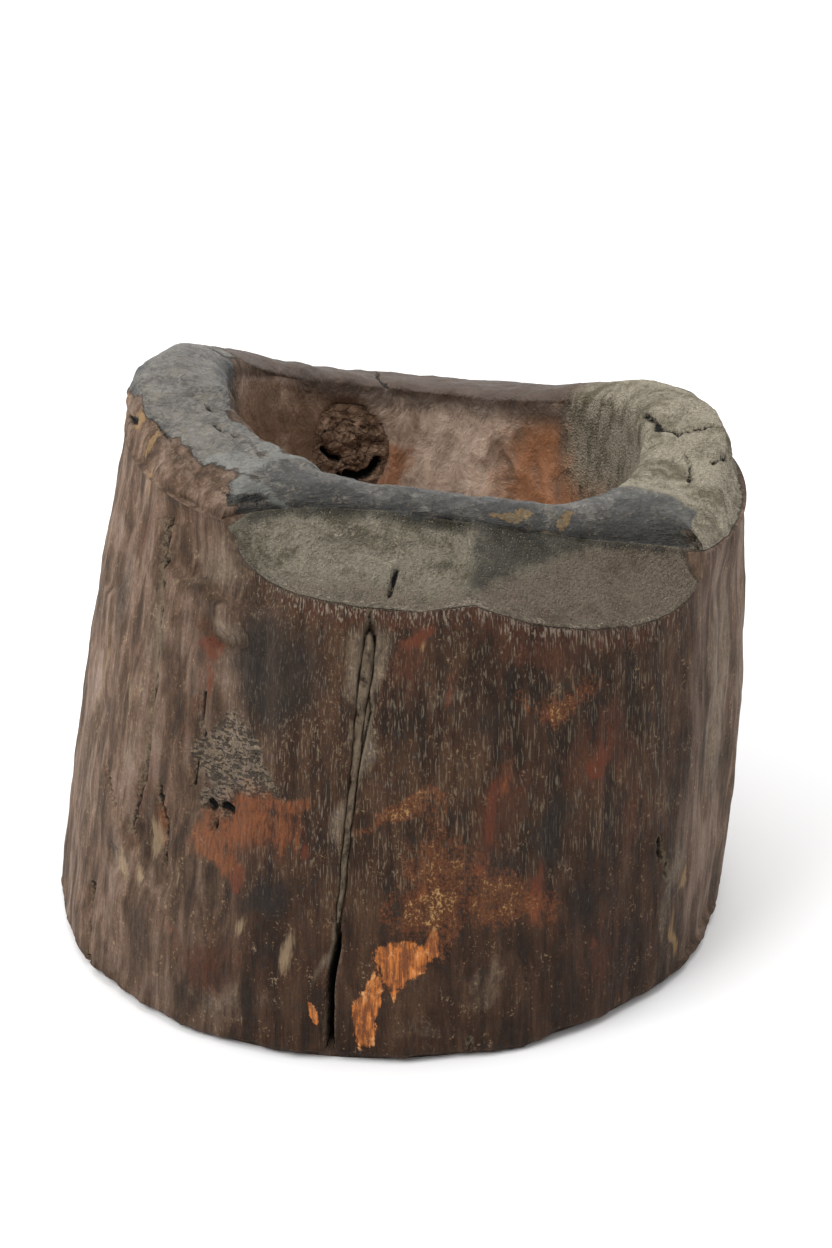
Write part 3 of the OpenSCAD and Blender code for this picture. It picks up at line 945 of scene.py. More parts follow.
WALL_CRACKS: tuple[Crack, ...] = (
    Crack(((219.5, 136), (221.5, 118), (223, 105), (224, 84), (224.5, 66), (222, 48)), 0.3, 2.4),
    Crack(((234.4, 96), (235.0, 84), (234.6, 70)), 0.2, 1.8),
    Crack(((213.5, 62), (215.5, 57), (218, 54)), 0.25, 1.6),
    Crack(((212.6, 25), (213.2, 14), (214.4, 2)), 0.8, 4.0),
    Crack(((228, 66), (230.5, 56), (231, 45)), 0.3, 2.0),
    Crack(((260.9, 125), (260.6, 112), (262.6, 99), (261.9, 88), (261.0, 71), (261.1, 34)), -0.05, 1.6),
    Crack(((261.4, 34), (260.9, 24), (261.4, 10), (262.0, 1)), 0.6, 5.0),
    Crack(((260.7, 109), (260.9, 104)), 0.75, 3.0),
    Crack(((281.6, 6), (282.4, 1)), 0.2, 1.5),
    Crack(((312.6, 50), (313.6, 44)), 0.55, 2.5),
    Crack(((315, 41), (315.6, 37)), 0.5, 2.5),
    Crack(((238.0, 66.4), (238.6, 65.8)), 1.0, 3.0),
    Crack(((240.6, 66.8), (242.3, 66.2)), 0.8, 3.0),
    Crack(((239.6, 63.6), (239.8, 60.5)), 0.3, 2.0),
    Crack(((263.5, 131), (263.2, 128)), 0.3, 2.0),
    Crack(((190, 150.5), (196, 152), (199, 153)), 0.5, 2.0),
    Crack(((205, 155), (212, 153), (216, 151.5), (221, 150.5), (229, 148), (236, 144)), 0.15, 1.8),
    Crack(((30, 120), (31, 90), (29, 40)), 0.3, 3.0),
    Crack(((78, 118), (77, 70), (79, 2)), 0.7, 4.0),
    Crack(((131, 100), (130, 60), (132, 8)), 0.4, 4.0),
    Crack(((176, 140), (175, 96), (177, 60)), 0.35, 3.0),
    Crack(((105, 128), (104, 108), (106, 92)), 0.25, 2.0),
)

RIM_CRACKS: tuple[RimCrack, ...] = (
    RimCrack(((199, 71), (203, 69), (206, 68)), 0.2),
    RimCrack(((211, 70), (214, 69), (217, 67)), 0.2),
    RimCrack(((12, 61), (5, 62), (358, 63), (356, 70), (358, 76), (0, 82), (358, 88)), 0.35),
    RimCrack(((359, 67), (352, 69), (345, 72), (342, 74), (336, 76)), 0.2),
    RimCrack(((344, 80), (350, 84), (354, 85)), 0.35),
    RimCrack(((349, 82), (347, 87)), 0.5),
    RimCrack(((343, 82), (342, 88)), 0.5),
    RimCrack(((100, 58), (103, 72), (101, 86)), 0.25),
    RimCrack(((33, 66), (31, 84)), 0.2),
)

WALL_SCARS: tuple[Scar, ...] = (
    Scar(233, 121, 21, 26, 2.6),
    Scar(239, 109, 12, 9, 1.6),
    Scar(221, 134, 8, 12, 1.6),
    Scar(204, 108, 9, 40, 1.2),
    Scar(96, 88, 22, 40, 2.4),
    Scar(18, 96, 16, 30, 2.0),
    Scar(150, 74, 18, 34, 2.2),
    Scar(60, 40, 20, 26, 1.8),
)

# Lower edge of the polished band, as (angle, height) from the left horn to the front right
BAND_EDGE = (
    (160, 150),
    (195, 157),
    (208, 154),
    (216, 152),
    (228, 149),
    (241, 142),
    (271, 140.5),
    (285, 137.5),
    (300, 134),
    (317, 132),
    (330, 133),
)


@dataclass
class MortarBlock:
    """The carved block as one spun grid, sculpted and painted by rule."""

    shape: CarvedShape = field(default_factory=CarvedShape)
    columns: int = 408
    under_rings: int = 9
    foot_rings: int = 4
    wall_rings: int = 112
    chamfer_rings: int = 26
    shoulder_rings: int = 24
    lip_rings: int = 11
    bowl_rings: int = 46
    bowl_end: float = 88.5
    front_density: float = 0.8
    split_density: float = 3.0
    split_angle: float = 261.2
    split_depth: float = 9.0
    split_low: float = 2.0
    split_high: float = 122.0
    split_narrow: float = 0.4
    split_wide: float = 1.3
    split_flare: float = 3.0
    knot_angle: float = 115.5
    knot_turn: float = 12.5
    knot_profile: float = 14.5
    knot_reach: float = 10.0
    knot_depth: float = 9.0
    scoop_step: float = 1.7
    scoop_angle: float = 261.5
    scoop_half: float = 16.4
    scoop_top: float = 141.5
    scoop_fall: float = 16.2
    facet_angle: float = 332.0
    facet_half: float = 14.0

    def __post_init__(self) -> None:
        """Works out the grid of angles, zones and bare positions."""
        counts = (
            self.under_rings,
            self.foot_rings,
            self.wall_rings,
            self.chamfer_rings,
            self.shoulder_rings,
            self.lip_rings,
            self.bowl_rings,
        )
        self.t = self._column_angles()[:, None]
        self.grid = self._bare_grid()
        self.rings = self.grid.shape[1]
        zones = np.repeat(np.arange(len(counts)), counts)
        self.zone = np.broadcast_to(zones, (self.columns, self.rings))
        low, high = self.grid[..., :2].min((0, 1)), self.grid[..., :2].max((0, 1))
        self.middle = np.append((low + high) / 2, 0.0)
        self._measure()

    def _column_angles(self) -> np.ndarray:
        """Angles of the columns, closer together at the front and closest at the split."""
        fine = np.linspace(0, FULL_TURN, 3601)
        close = 1 + self.front_density * np.clip(np.cos(np.radians(fine - 270)), 0, None)
        close += self.split_density * np.exp(-(((fine - self.split_angle) / 2.2) ** 2))
        share = np.cumsum(close) / close.sum()
        return np.interp((np.arange(self.columns) + 0.5) / self.columns, share, fine)

    def _bare_grid(self) -> np.ndarray:
        """Positions of the grid before any sculpting, in millimetres."""
        s, t = self.shape, self.t
        quarter = np.radians(90)

        def up_to(n: int) -> np.ndarray:
            """Shares 1/n to 1 along a stretch of n rings."""
            return (np.arange(1, n + 1) / n)[None, :]

        foot = s.foot_radius(t)
        a = np.radians(t)
        under = (foot - s.foot_round) * (0.03 + 0.97 * up_to(self.under_rings))
        flat = np.stack([under * np.cos(a), -s.set_forward + under * np.sin(a), 0 * under], -1)
        f = up_to(self.foot_rings + 1)[:, :-1] * quarter
        r = foot - s.foot_round + s.foot_round * np.sin(f)
        edge = np.stack(
            [r * np.cos(a), -s.set_forward + r * np.sin(a), s.foot_round * (1 - np.cos(f)) + 0 * r], -1
        )
        top = s.wall_top(t)
        low = top - s.scoop_fall(t)
        share = np.linspace(0, 1, self.wall_rings)[None, :]
        wall = s.wall_point(t, s.foot_round + (low - 0.6 - s.foot_round) * share)
        start, end = s.wall_point(t, low), s.wall_point(t, top, s.chamfer_cut(t))
        f = up_to(self.chamfer_rings)
        sag = s.scoop_sag * s.chamfer_cut(t) / s.chamfer_depth * np.sin(np.pi * f)
        inward = np.stack([np.cos(a), np.sin(a), 0 * a], -1)
        chamfer = start + (end - start) * f[..., None] - inward * sag[..., None]
        rc, zc = s.crest_radius(t), s.crest_z(t)
        crest = np.stack([s.lean + rc * np.cos(a), 1 + rc * np.sin(a), zc], -1)
        f = up_to(self.shoulder_rings) * quarter
        across, rise = (1 - np.cos(f))[..., None], np.sin(f)[..., None]
        shoulder = end + (crest - end) * np.concatenate([across, across, rise], -1)
        f = up_to(self.lip_rings) * quarter
        r = rc - s.lip_span(t) * np.sin(f)
        fall = s.lip_fall(t) * (1 - np.cos(f))
        lip = np.stack([s.lean + r * np.cos(a), 1 + r * np.sin(a), zc - fall], -1)
        bowl = s.bowl_point(t, up_to(self.bowl_rings) * self.bowl_end + 0 * t)
        return np.concatenate([flat, edge, wall, chamfer, shoulder, lip, bowl], 1)

    def _measure(self) -> None:
        """Works out the shared measures of every point of the bare grid."""
        s = self.shape
        self.z = self.grid[..., 2]
        x, y = self.grid[..., 0] - s.lean * self.z / s.head_height, self.grid[..., 1] + s.set_forward
        self.bearing = np.degrees(np.arctan2(y, x)) % FULL_TURN
        self.radius = np.hypot(x, y)
        bowl_rings = np.arange(1, self.bowl_rings + 1) / self.bowl_rings * self.bowl_end
        rest = np.zeros(self.rings - self.bowl_rings)
        self.profile = np.concatenate([rest, bowl_rings])[None, :] + 0 * self.t
        self.warp = grain(self.grid, (9, 9, 14), 4, 3.1)
        self.drift_across = 6.0 * grain(self.grid, (16, 16, 24), 2, 21.3)
        self.drift_up = 8.0 * grain(self.grid, (16, 16, 24), 2, 34.9)
        self.below_crest = s.crest_z(self.t) - self.z
        self.below_cut = s.wall_top(self.t) - s.scoop_fall(self.t) - self.z
        self.cut_share = s.chamfer_cut(self.t) / s.chamfer_depth + 0 * self.z
        self.right = self.toward(Sector.RIGHT)
        self.shoulder = self.within(Zone.SHOULDER)
        self.rim = self.within(Zone.SHOULDER, Zone.LIP)
        self.bowl = self.within(Zone.BOWL)
        self.chamfer = self.within(Zone.CHAMFER)
        self.outer = self.within(Zone.FOOT, Zone.WALL)
        self.side = self.outer + self.shoulder * (1 - self.cut_share) * smooth(self.below_crest, 3, 8)
        self.on_wall = np.clip(self.outer + self.chamfer + self.side, 0, 1)

    def within(self, *zones: Zone) -> np.ndarray:
        """1 on the given zones and 0 elsewhere."""
        return np.isin(self.zone, [z.value for z in zones]).astype(float)

    def toward(self, sector: Sector) -> np.ndarray:
        """Share of a sector: 1 in its middle and 0 outside it."""
        angle, far, near = sector.value
        return smooth(np.abs(turn(self.bearing, angle)), far, near)

    def at_depth(self, low: float, high: float) -> np.ndarray:
        """Share that goes from 0 at bowl profile angle low to 1 at high."""
        return smooth(self.profile, low, high)

    def _patch(self, patch: Patch) -> np.ndarray:
        """Share of a patch over the grid, fading evenly from its middle."""
        across = np.radians(turn(self.bearing, patch.angle)) * self.radius + self.drift_across
        rise = self.z - patch.height + self.drift_up
        far = np.hypot(across / patch.half_width, rise / patch.half_height)
        return np.clip(patch.strength * 1.25 * (1.2 - far), 0, 1)

    def _crack(self, crack: Crack) -> np.ndarray:
        """Distance in millimetres from the edge of a crack, negative inside it."""
        first = crack.path[0][0]
        path = [(np.radians(t - first) * self.radius, z) for t, z in crack.path]
        around = np.radians(turn(self.bearing, first)) * self.radius
        return path_distance(around, self.z, path) - crack.half_width

    def _rim_crack(self, crack: RimCrack) -> np.ndarray:
        """Distance in millimetres from the edge of a rim crack, negative inside it."""
        a = np.radians(self.bearing)
        path = [(r * math.cos(math.radians(t)), r * math.sin(math.radians(t))) for t, r in crack.path]
        away = path_distance(self.radius * np.cos(a), self.radius * np.sin(a), path)
        return away + 0.5 * self.warp - crack.half_width

    def split_half(self, z: np.ndarray) -> np.ndarray:
        """Half angle of the front split at a height."""
        share = np.clip(z / self.split_high, 0, 1) ** self.split_flare
        return self.split_narrow + (self.split_wide - self.split_narrow) * share

    def _wall_push(self) -> np.ndarray:
        """Depth of the hewn facets, flakes, rot and wear of the wall."""
        grid, side = self.grid, self.side
        push = 0.9 + 1.4 * grain(grid, (30, 30, 100), 2, 7.7)
        push += 0.9 * grain(grid, (10, 10, 30), 3, 1.9) + 0.25 * grain(grid, (2.2, 2.2, 9.0), 2, 5.3)
        self.ledge = np.zeros_like(self.z)
        for scar in WALL_SCARS:
            across = np.radians(turn(self.bearing, scar.angle)) * self.radius / scar.half_width
            edge_z = scar.low + 2.5 * across**2 + 2.6 * self.warp
            rise = (self.z - edge_z) / scar.height
            sides = smooth(np.abs(across), 1.1, 0.75)
            push += smooth(rise, -0.02, 0.06) * smooth(rise, 1.0, 0.1) * sides * scar.depth
            self.ledge = np.maximum(self.ledge, smooth(np.abs(self.z - edge_z + 0.6), 1.5, 0.2) * sides)
        facet = np.clip(turn(self.bearing, self.facet_angle), -self.facet_half, self.facet_half)
        chord = self.radius * (1 - math.cos(math.radians(self.facet_half)) / np.cos(np.radians(facet)))
        push += self.within(Zone.WALL) * chord * 0.8 * smooth(self.z, 124, 108)
        self.splinter = np.maximum(*(self._patch(p) for p in SPLINTERS))
        push += self.splinter * (1.4 + 2.6 * np.abs(grain(grid, (2.6, 2.6, 16.0), 2, 8.8)))
        rot = sum(self._patch(p) for p in STAINS["rot"])
        push += np.clip(rot, 0, 1) * (0.6 + 1.5 * np.abs(grain(grid, (2.8, 2.8, 1.8), 2, 2.2)))
        return side * push

    def _split_push(self) -> np.ndarray:
        """Depth of the front split, which narrows downward and is open at its foot."""
        off = np.abs(turn(self.bearing, self.split_angle + 0.35 * self.warp)) / self.split_half(self.z)
        level = (self.z - self.split_low) / (self.split_high - self.split_low)
        deep = np.sin(np.pi * np.clip(level, 0, 1)) ** 0.35
        return self.outer * np.clip(1 - off, 0, 1) ** 0.8 * deep * self.split_depth

    def _scoop_push(self) -> np.ndarray:
        """Depth of the adze cuts' own relief, with the left scoop cut over the right one."""
        across = np.abs(turn(self.bearing, self.scoop_angle)) / self.scoop_half
        fall = np.clip(self.scoop_top - self.z, 0, None) / self.scoop_fall
        self.left_scoop = np.hypot(across**1.5, fall**1.5)
        push = 0.5 + 1.0 * grain(self.grid, (9, 9, 6), 3, 4.4)
        push += 0.35 * grain(self.grid, (1.9, 3.5, 1.9), 2, 6.1)
        push += self.scoop_step * smooth(self.left_scoop, 1.06, 0.94) * smooth(self.bearing, 262, 270)
        return self.chamfer * self.cut_share * push

    def _rim_push(self) -> np.ndarray:
        """Wear of the shoulder and the lip."""
        grid = self.grid
        push = 0.4 + 0.8 * grain(grid, (13, 13, 9), 3, 2.7) + 0.25 * grain(grid, (3, 3, 3), 2, 9.1)
        dish = smooth(np.abs(self.radius - 71), 12, 3) * self.toward(Sector.DISH)
        push += 1.8 * dish + self.shoulder * self.right * 0.6 * np.abs(grain(grid, (4, 9, 3), 3, 3.3))
        notch = self.toward(Sector.NOTCH) * smooth(self.radius, 82, 86)
        push += notch * (0.8 + 1.8 * np.abs(grain(grid, (4, 2.4, 4), 2, 5.1)))
        overhang = self.toward(Sector.OVERHANG) * smooth(np.abs(self.z - 156), 5, 2)
        return self.rim * (push - 1.6 * overhang) - 1.0 * self._ridge() * (1 - self.bowl)

    def _bowl_push(self) -> np.ndarray:
        """Gouge marks and a shallow seam down the back of the bowl."""
        push = self.at_depth(0, 14) * 1.0 * grain(self.grid, (19, 19, 24), 3, 5.5)
        push += 0.4 * grain(self.grid, (5, 5, 8), 3, 1.2)
        seam = np.abs(turn(self.bearing, 107 - 0.33 * self.profile)) * self.radius / 57.3
        push -= 0.8 * smooth(seam, 1.6, 0.2) * self.at_depth(45, 20)
        return self.bowl * push

    def _gap(self) -> np.ndarray:
        """Distance in millimetres from the nearest split, hole or rim crack."""
        gap = np.full(self.z.shape, 9.0)
        for crack in WALL_CRACKS:
            gap = np.where(self.on_wall > 0, np.minimum(gap, self._crack(crack)), gap)
        for crack in RIM_CRACKS:
            gap = np.where(self.rim > 0, np.minimum(gap, self._rim_crack(crack)), gap)
        return gap

    def _crack_push(self) -> np.ndarray:
        """Depth of every crack."""
        push = np.zeros_like(self.z)
        for crack in WALL_CRACKS:
            push += self.on_wall * crack.depth * smooth(self._crack(crack), 0.8, -0.2)
        for crack in RIM_CRACKS:
            push += self.rim * 1.5 * smooth(self._rim_crack(crack), 0.7, -0.2)
        return push

    def _knot_place(self) -> tuple[np.ndarray, np.ndarray]:
        """Distances round and down the bowl from the knot's middle, 1 at its edge."""
        around = turn(self.t, self.knot_angle) / self.knot_turn
        return around, (self.profile - self.knot_profile) / self.knot_reach

    def _socket(self) -> np.ndarray:
        """Share of the knot's socket."""
        return self.bowl * smooth(np.hypot(*self._knot_place()), 1.02, 0.86)

    def _normals(self) -> np.ndarray:
        """Outward directions of the bare grid."""
        round_way = np.roll(self.grid, -1, 0) - np.roll(self.grid, 1, 0)
        n = np.cross(round_way, np.gradient(self.grid, axis=1))
        return n / np.maximum(np.linalg.norm(n, axis=-1, keepdims=True), 1e-9)

    def sculpt(self) -> np.ndarray:
        """Cuts every carved and weathered feature into the grid.

        Returns:
            The final positions, in millimetres from the frame's origin.
        """
        push = self._wall_push() + self._split_push() + self._scoop_push()
        push += self._rim_push() + self._bowl_push() + self._crack_push()
        under = self.within(Zone.UNDER) * smooth(self.radius, 84, 60)
        push += under * (1.0 + 0.6 * grain(self.grid, (30, 9, 9), 3, 4.1))
        place = self.grid - self._normals() * push[..., None]
        outward = np.concatenate([np.cos(np.radians(self.t)), np.sin(np.radians(self.t))], -1)
        place[..., :2] += outward[:, None, :] * (self._socket() * self.knot_depth)[..., None]
        place[..., 2] = np.maximum(place[..., 2], 0.0)
        chipped = smooth(place[..., 2], 7.0, 0.5) * self.within(Zone.FOOT)
        place[..., 2] += chipped * np.clip(1.6 * grain(self.grid, (12, 12, 5), 3, 6.6), 0, None)
        return place - self.middle

    def masks(self) -> dict[str, np.ndarray]:
        """Every painted mask over the grid, by name."""
        laid = {name: np.zeros_like(self.z) for name in STAINS}
        for name, patches in STAINS.items():
            for patch in patches:
                laid[name] = np.maximum(laid[name], self._patch(patch))
        for name in ("black", "rust_and_shadow", "scarlet", "orange", "amber", "gold", "pale", "dust", "rot"):
            laid[name] *= np.clip(self.side + self.outer, 0, 1)
        laid["ochre"] *= 1 - self.bowl
        # painted shadow under the adze cuts' lower edge: a dark red band fading downward and a black line
        # right under the edge
        under_cut = self.cut_share * self.outer
        laid["rust_and_shadow"] = np.maximum(laid["rust_and_shadow"], 0.9 * smooth(self.below_cut, 14, 2) * under_cut)
        laid["black"] = np.maximum(laid["black"], 0.95 * smooth(self.below_cut, 4, 0.3) * under_cut)
        laid["dust"] = np.maximum(laid["dust"], 0.7 * self.ledge * self.side)
        laid["pale"] = np.maximum(laid["pale"], self.splinter * 0.55 * self.outer)
        laid.update(self._wall_masks(), **self._cut_masks(laid["fray_and_step_highlight"]), **self._bowl_masks())
        laid["gap"] = self._gap()
        # painted shadow: a black crescent round the knot's lower right, fainter elsewhere round its socket
        around, along = self._knot_place()
        lower_right = smooth((along - around) / 1.41 + 0 * self.z, 0.1, 0.6)
        socket_shadow = 6.0 - (3.0 + 2.2 * lower_right) * smooth(self._socket(), 0.1, 0.8)
        laid["gap"] = np.where(self.bowl > 0, np.minimum(laid["gap"], socket_shadow), laid["gap"])
        return laid

    def _spill(self) -> np.ndarray:
        """Share of the grey end grain that runs down into the right of the bowl."""
        return self.right * self.at_depth(38, 5)

    def _polish_in_bowl(self) -> np.ndarray:
        """Share of the polish that runs down into the left of the bowl."""
        return self.at_depth(42, 4) * self.toward(Sector.BOWL_POLISH)

    def _ridge(self) -> np.ndarray:
        """Share of the raised fold that runs from the band down beside the left scoop."""
        flat = [(np.radians(t - 236) * self.radius, z) for t, z in RIDGE_PATH]
        away = path_distance(np.radians(turn(self.bearing, 236)) * self.radius, self.z, flat)
        return smooth(away + 0.5 * self.warp, 1.5, 0.2)

    def _wall_masks(self) -> dict[str, np.ndarray]:
        """Masks of the wall's overall tone and of the polished band."""
        angles, heights = zip(*BAND_EDGE)
        edge = np.interp(self.bearing, angles, heights) + 2.0 * self.warp
        listed = smooth(np.abs(turn(self.bearing, 245)), 88, 78)
        band = smooth(self.z, edge - 1.2, edge + 1.0) * listed
        band = np.maximum(band, smooth(self.below_crest, 5.5, 3.0) * (1 - listed))
        band = np.maximum(band, self.shoulder * smooth(self.cut_share, 0.05, 0.35))
        band = band * (self.rim + self.chamfer + self.within(Zone.WALL))
        # the back rim is left to the bowl's painted shade
        band *= 1 - self.toward(Sector.BACK_RIM)
        band += self.bowl * self._polish_in_bowl()
        band *= 1 - 0.9 * self.toward(Sector.BARE_RIM)
        front = self.toward(Sector.FRONT)
        on_horn = 0.35 + 0.65 * self.toward(Sector.LEFT_HORN)
        return {
            "band": np.clip(band, 0, 1),
            # crest: the rim's top, painted lighter as wear and as a painted highlight
            "crest": smooth(self.below_crest, 7.0, 0.3) * self.rim * on_horn,
            "deep": self.side * (front * smooth(self.z, -30, 10) + 0.25 * self.toward(Sector.FRONT_LEFT)),
            "pores": self.side * self.toward(Sector.PORES) * smooth(self.z, 30, 70),
            "smoothed": np.clip(self.chamfer + self.rim + self.bowl, 0, 1),
            # ridge: where the raised fold gets its painted highlight
            "ridge": self._ridge() * (1 - self.bowl),
            # painted highlight on the left side of the wall, and a slightly paler facet
            "left_highlight_and_pale_facet": self.side * (0.3 * self.toward(Sector.LEFT) + 0.12 * self.toward(Sector.FACET)),
            "weathered": self.right * self.rim + 0.5 * self.bowl * self._spill(),
        }

    def _cut_masks(self, fray_and_step_highlight: np.ndarray) -> dict[str, np.ndarray]:
        """Masks of the adze cuts and of the worn end grain at the right, with a painted highlight along the
        left scoop's step and a painted shadow under the band.
        """
        raw = self.chamfer * smooth(self.cut_share, 0.1, 0.4)
        lower_lip = smooth(-self.below_cut, 2.6, 0.4) * self.chamfer * self.cut_share
        # painted highlight: a pale line along the raised step where the left scoop is cut over the right
        # one
        step_highlight = smooth(np.abs(self.left_scoop - 1.0), 0.07, 0.0) * self.chamfer
        step_highlight *= smooth(self.bearing, 272, 276)
        blur = 0.04 + 0.5 * smooth(self.z, 127, 133)
        second = smooth(self.left_scoop, 1 - blur, 1 + blur) * smooth(self.bearing, 262, 270)
        # painted shadow: a dark line just under the band's lower edge
        band_shadow = smooth(self.shape.wall_top(self.t) - self.z, 3.0, 0.4)
        low_half = smooth(self.z, 129.5, 125.5)
        return {
            "end_grain": np.clip(raw + self.right * self.rim + self.bowl * self._spill(), 0, 1),
            "scoop_brown": raw * np.maximum(second * low_half, 0.7 * smooth(self.z, 132, 127)),
            "scoop_black_and_band_shadow": raw * np.maximum(second * smooth(self.z, 126, 130) * 0.9, 0.8 * band_shadow),
            "fray_and_step_highlight": np.clip(fray_and_step_highlight * self.chamfer + 0.75 * lower_lip + 0.9 * step_highlight, 0, 1),
            "strands": self.cut_share * self.outer * smooth(self.below_cut, 9, 0) * 0.75,
        }

    def _bowl_masks(self) -> dict[str, np.ndarray]:
        """Masks of the inside of the bowl, with its painted light and painted shade."""
        back = self.toward(Sector.BOWL_BACK)
        # painted shade: under the back rim, on the floor and on the left side
        dark = np.maximum(self.at_depth(9, 1) * back, self.at_depth(50, 86) * 0.5)
        dark = np.maximum(dark, self.toward(Sector.BOWL_LEFT) * 0.3)
        # painted light on the middle of the back wall
        light = self.toward(Sector.BOWL_MIDDLE) * 1.0
        halo = sum(self._patch(p) for p in KNOT_HALO)
        belt = self.at_depth(52, 16) * self.at_depth(-2, 12)
        warm = np.clip(self.toward(Sector.BOWL_WARM) * belt * 1.2, 0, 1)
        # painted shade: the back edge of the rim is painted with the bowl's shaded brown
        edge = self.rim * smooth(self.below_crest, 7, 3) * self.toward(Sector.BACK_EDGE) * (1 - self.right)
        return {
            "bowl": self.bowl * (1 - self._polish_in_bowl()) * (1 - 0.95 * self._spill()) + edge,
            "bowl_painted_shade": np.clip(dark * self.bowl * 0.85 + edge * 1.3, 0, 1.3),
            "bowl_painted_light": light * self.bowl,
            "bowl_warm": np.clip(warm + halo, 0, 1) * self.bowl,
        }

    def build(self) -> bpy.types.Object:
        """Spins the grid, places it, closes its two ends and paints it."""
        place = self.sculpt() * MM
        masks = self.masks()
        bm = bmesh.new()
        line = [bm.verts.new((1.0, 0.0, float(k))) for k in range(self.rings)]
        spin_line(bm, line, self.columns)
        bm.verts.index_update()
        turns = [math.atan2(v.co.y, v.co.x) / math.tau for v in bm.verts]
        column = [round(share * self.columns) % self.columns for share in turns]
        ring = [round(v.co.z) for v in bm.verts]
        for v, i, k in zip(bm.verts, column, ring):
            v.co = place[i, k]
        close_ends(bm)
        piece = finished_piece("mortar_wood", bm)
        extra = len(piece.data.vertices) - len(column)
        for name, mask in masks.items():
            values = mask[column, ring].astype(np.float32)
            paint(piece, name, np.concatenate([values, np.full(extra, values[-1], np.float32)]))
        return piece

    def dress(self) -> bpy.types.Object:
        """Builds the block, gives it its finish and hangs it on its body."""
        piece = self.build()
        piece.data.materials.append(AgedBlockWood().material())
        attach(piece, "mortar")
        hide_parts("mortar_block")
        return piece


@dataclass
class LooseKnot:
    """The dead knot that sits in its socket in the bowl wall."""

    block: MortarBlock
    turn_half: float = 13.3
    profile_half: float = 10.7
    proud: float = 0.4
    thickness: float = 3.0
    cells: int = 60
    unit: float = 11.5

    def _cracks(self, x: np.ndarray, y: np.ndarray) -> np.ndarray:
        """Distance in millimetres from the knot's own cracks; x runs right and y down."""
        upper = path_distance(x, y, [(-0.66, 0.0), (-0.48, 0.16), (-0.26, 0.2)]) - 0.035
        spot = path_distance(x, y, [(-0.3, 0.52), (-0.24, 0.56)]) - 0.03
        lower = path_distance(x, y, [(-0.12, 0.5), (0.2, 0.58), (0.5, 0.46), (0.66, 0.2)]) - 0.07
        return np.minimum(np.minimum(upper, spot), lower) * self.unit

    def build(self) -> bpy.types.Object:
        """Rounds a flat grid, bends it to the bowl wall and gives it thickness."""
        bm = bmesh.new()
        bmesh.ops.create_grid(bm, x_segments=self.cells, y_segments=self.cells, size=1.0)
        u, v = (np.array([getattr(p.co, axis) for p in bm.verts]) for axis in "xy")
        x, y = u * np.sqrt(1 - v * v / 2), v * np.sqrt(1 - u * u / 2)
        shape = self.block.shape
        t = self.block.knot_angle - self.turn_half * x
        a = self.block.knot_profile + self.profile_half * y
        far = np.hypot(x, y)
        flat = shape.bowl_point(t, a)
        lump = grain(flat, (8, 8, 5), 4, 2.5)
        ridge = np.abs(grain(flat, (5.5, 5.5, 3.0), 3, 6.5))
        gap = self._cracks(x, y)
        push = 0.4 * smooth(far, 0.8, 1.0) - self.proud * (1 - far**2) + 1.3 * lump * smooth(far, 1.0, 0.7)
        push += 0.9 * smooth(ridge, 0.12, 0.0) * smooth(far, 0.95, 0.7) + 4.0 * smooth(gap, 0.9, -0.8)
        place = (shape.bowl_point(t, a, np.clip(push, -1.4, 5.5)) - self.block.middle) * MM
        for vert, co in zip(bm.verts, place):
            vert.co = co
        thicken(bm, Vector((0, -1, 0)), self.thickness)
        piece = finished_piece("knot_wood", bm)
        extra = len(piece.data.vertices) - len(gap)
        paint(piece, "gap", np.concatenate([gap, np.full(extra, 9.0)]).astype(np.float32))
        return piece

    def dress(self) -> bpy.types.Object:
        """Builds the knot, gives it its finish and hangs it on its body."""
        piece = self.build()
        piece.data.materials.append(CrumblyWood().material())
        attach(piece, "mortar")
        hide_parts("bowl_knot")
        return piece


@dataclass
class SplitFilling:
    """Dust packed into the upper part of the split."""

    block: MortarBlock
    low: float = 41.0
    high: float = 119.0
    recess: float = 0.5
    edge_sink: float = 1.6
    thickness: float = 2.0
    cells_across: int = 10
    cells_up: int = 110

    def build(self) -> bpy.types.Object:
        """Bends a long grid into the split and gives it thickness."""
        bm = bmesh.new()
        bmesh.ops.create_grid(bm, x_segments=self.cells_across, y_segments=self.cells_up, size=1.0)
        u, v = (np.array([getattr(p.co, axis) for p in bm.verts]) for axis in "xy")
        block, shape = self.block, self.block.shape
        z = self.low + (self.high - self.low) * (v + 1) / 2
        flat = shape.wall_point(block.split_angle + 0 * z, z)
        bend = 0.35 * grain(flat, (9, 9, 14), 4, 3.1)
        taper = (1 - v**8) ** 0.5
        t = block.split_angle + bend + block.split_half(z) * u * np.maximum(taper, 0.1)
        flat = shape.wall_point(t, z)
        push = self.recess + 0.9 * grain(flat, (3, 3, 6), 3, 1.5) + 0.5 * grain(flat, (1.5, 1.5, 3), 2, 2.5)
        push += self.edge_sink * u**6
        place = (shape.wall_point(t, z, np.maximum(push, 0.2)) - block.middle) * MM
        for vert, co in zip(bm.verts, place):
            vert.co = co
        thicken(bm, Vector((0, -1, 0)), self.thickness)
        return finished_piece("split_dust", bm)

    def dress(self) -> bpy.types.Object:
        """Builds the filling, gives it its finish and hangs it on its body."""
        piece = self.build()
        piece.data.materials.append(PackedDust().material())
        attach(piece, "mortar")
        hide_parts("split_filling")
        return piece


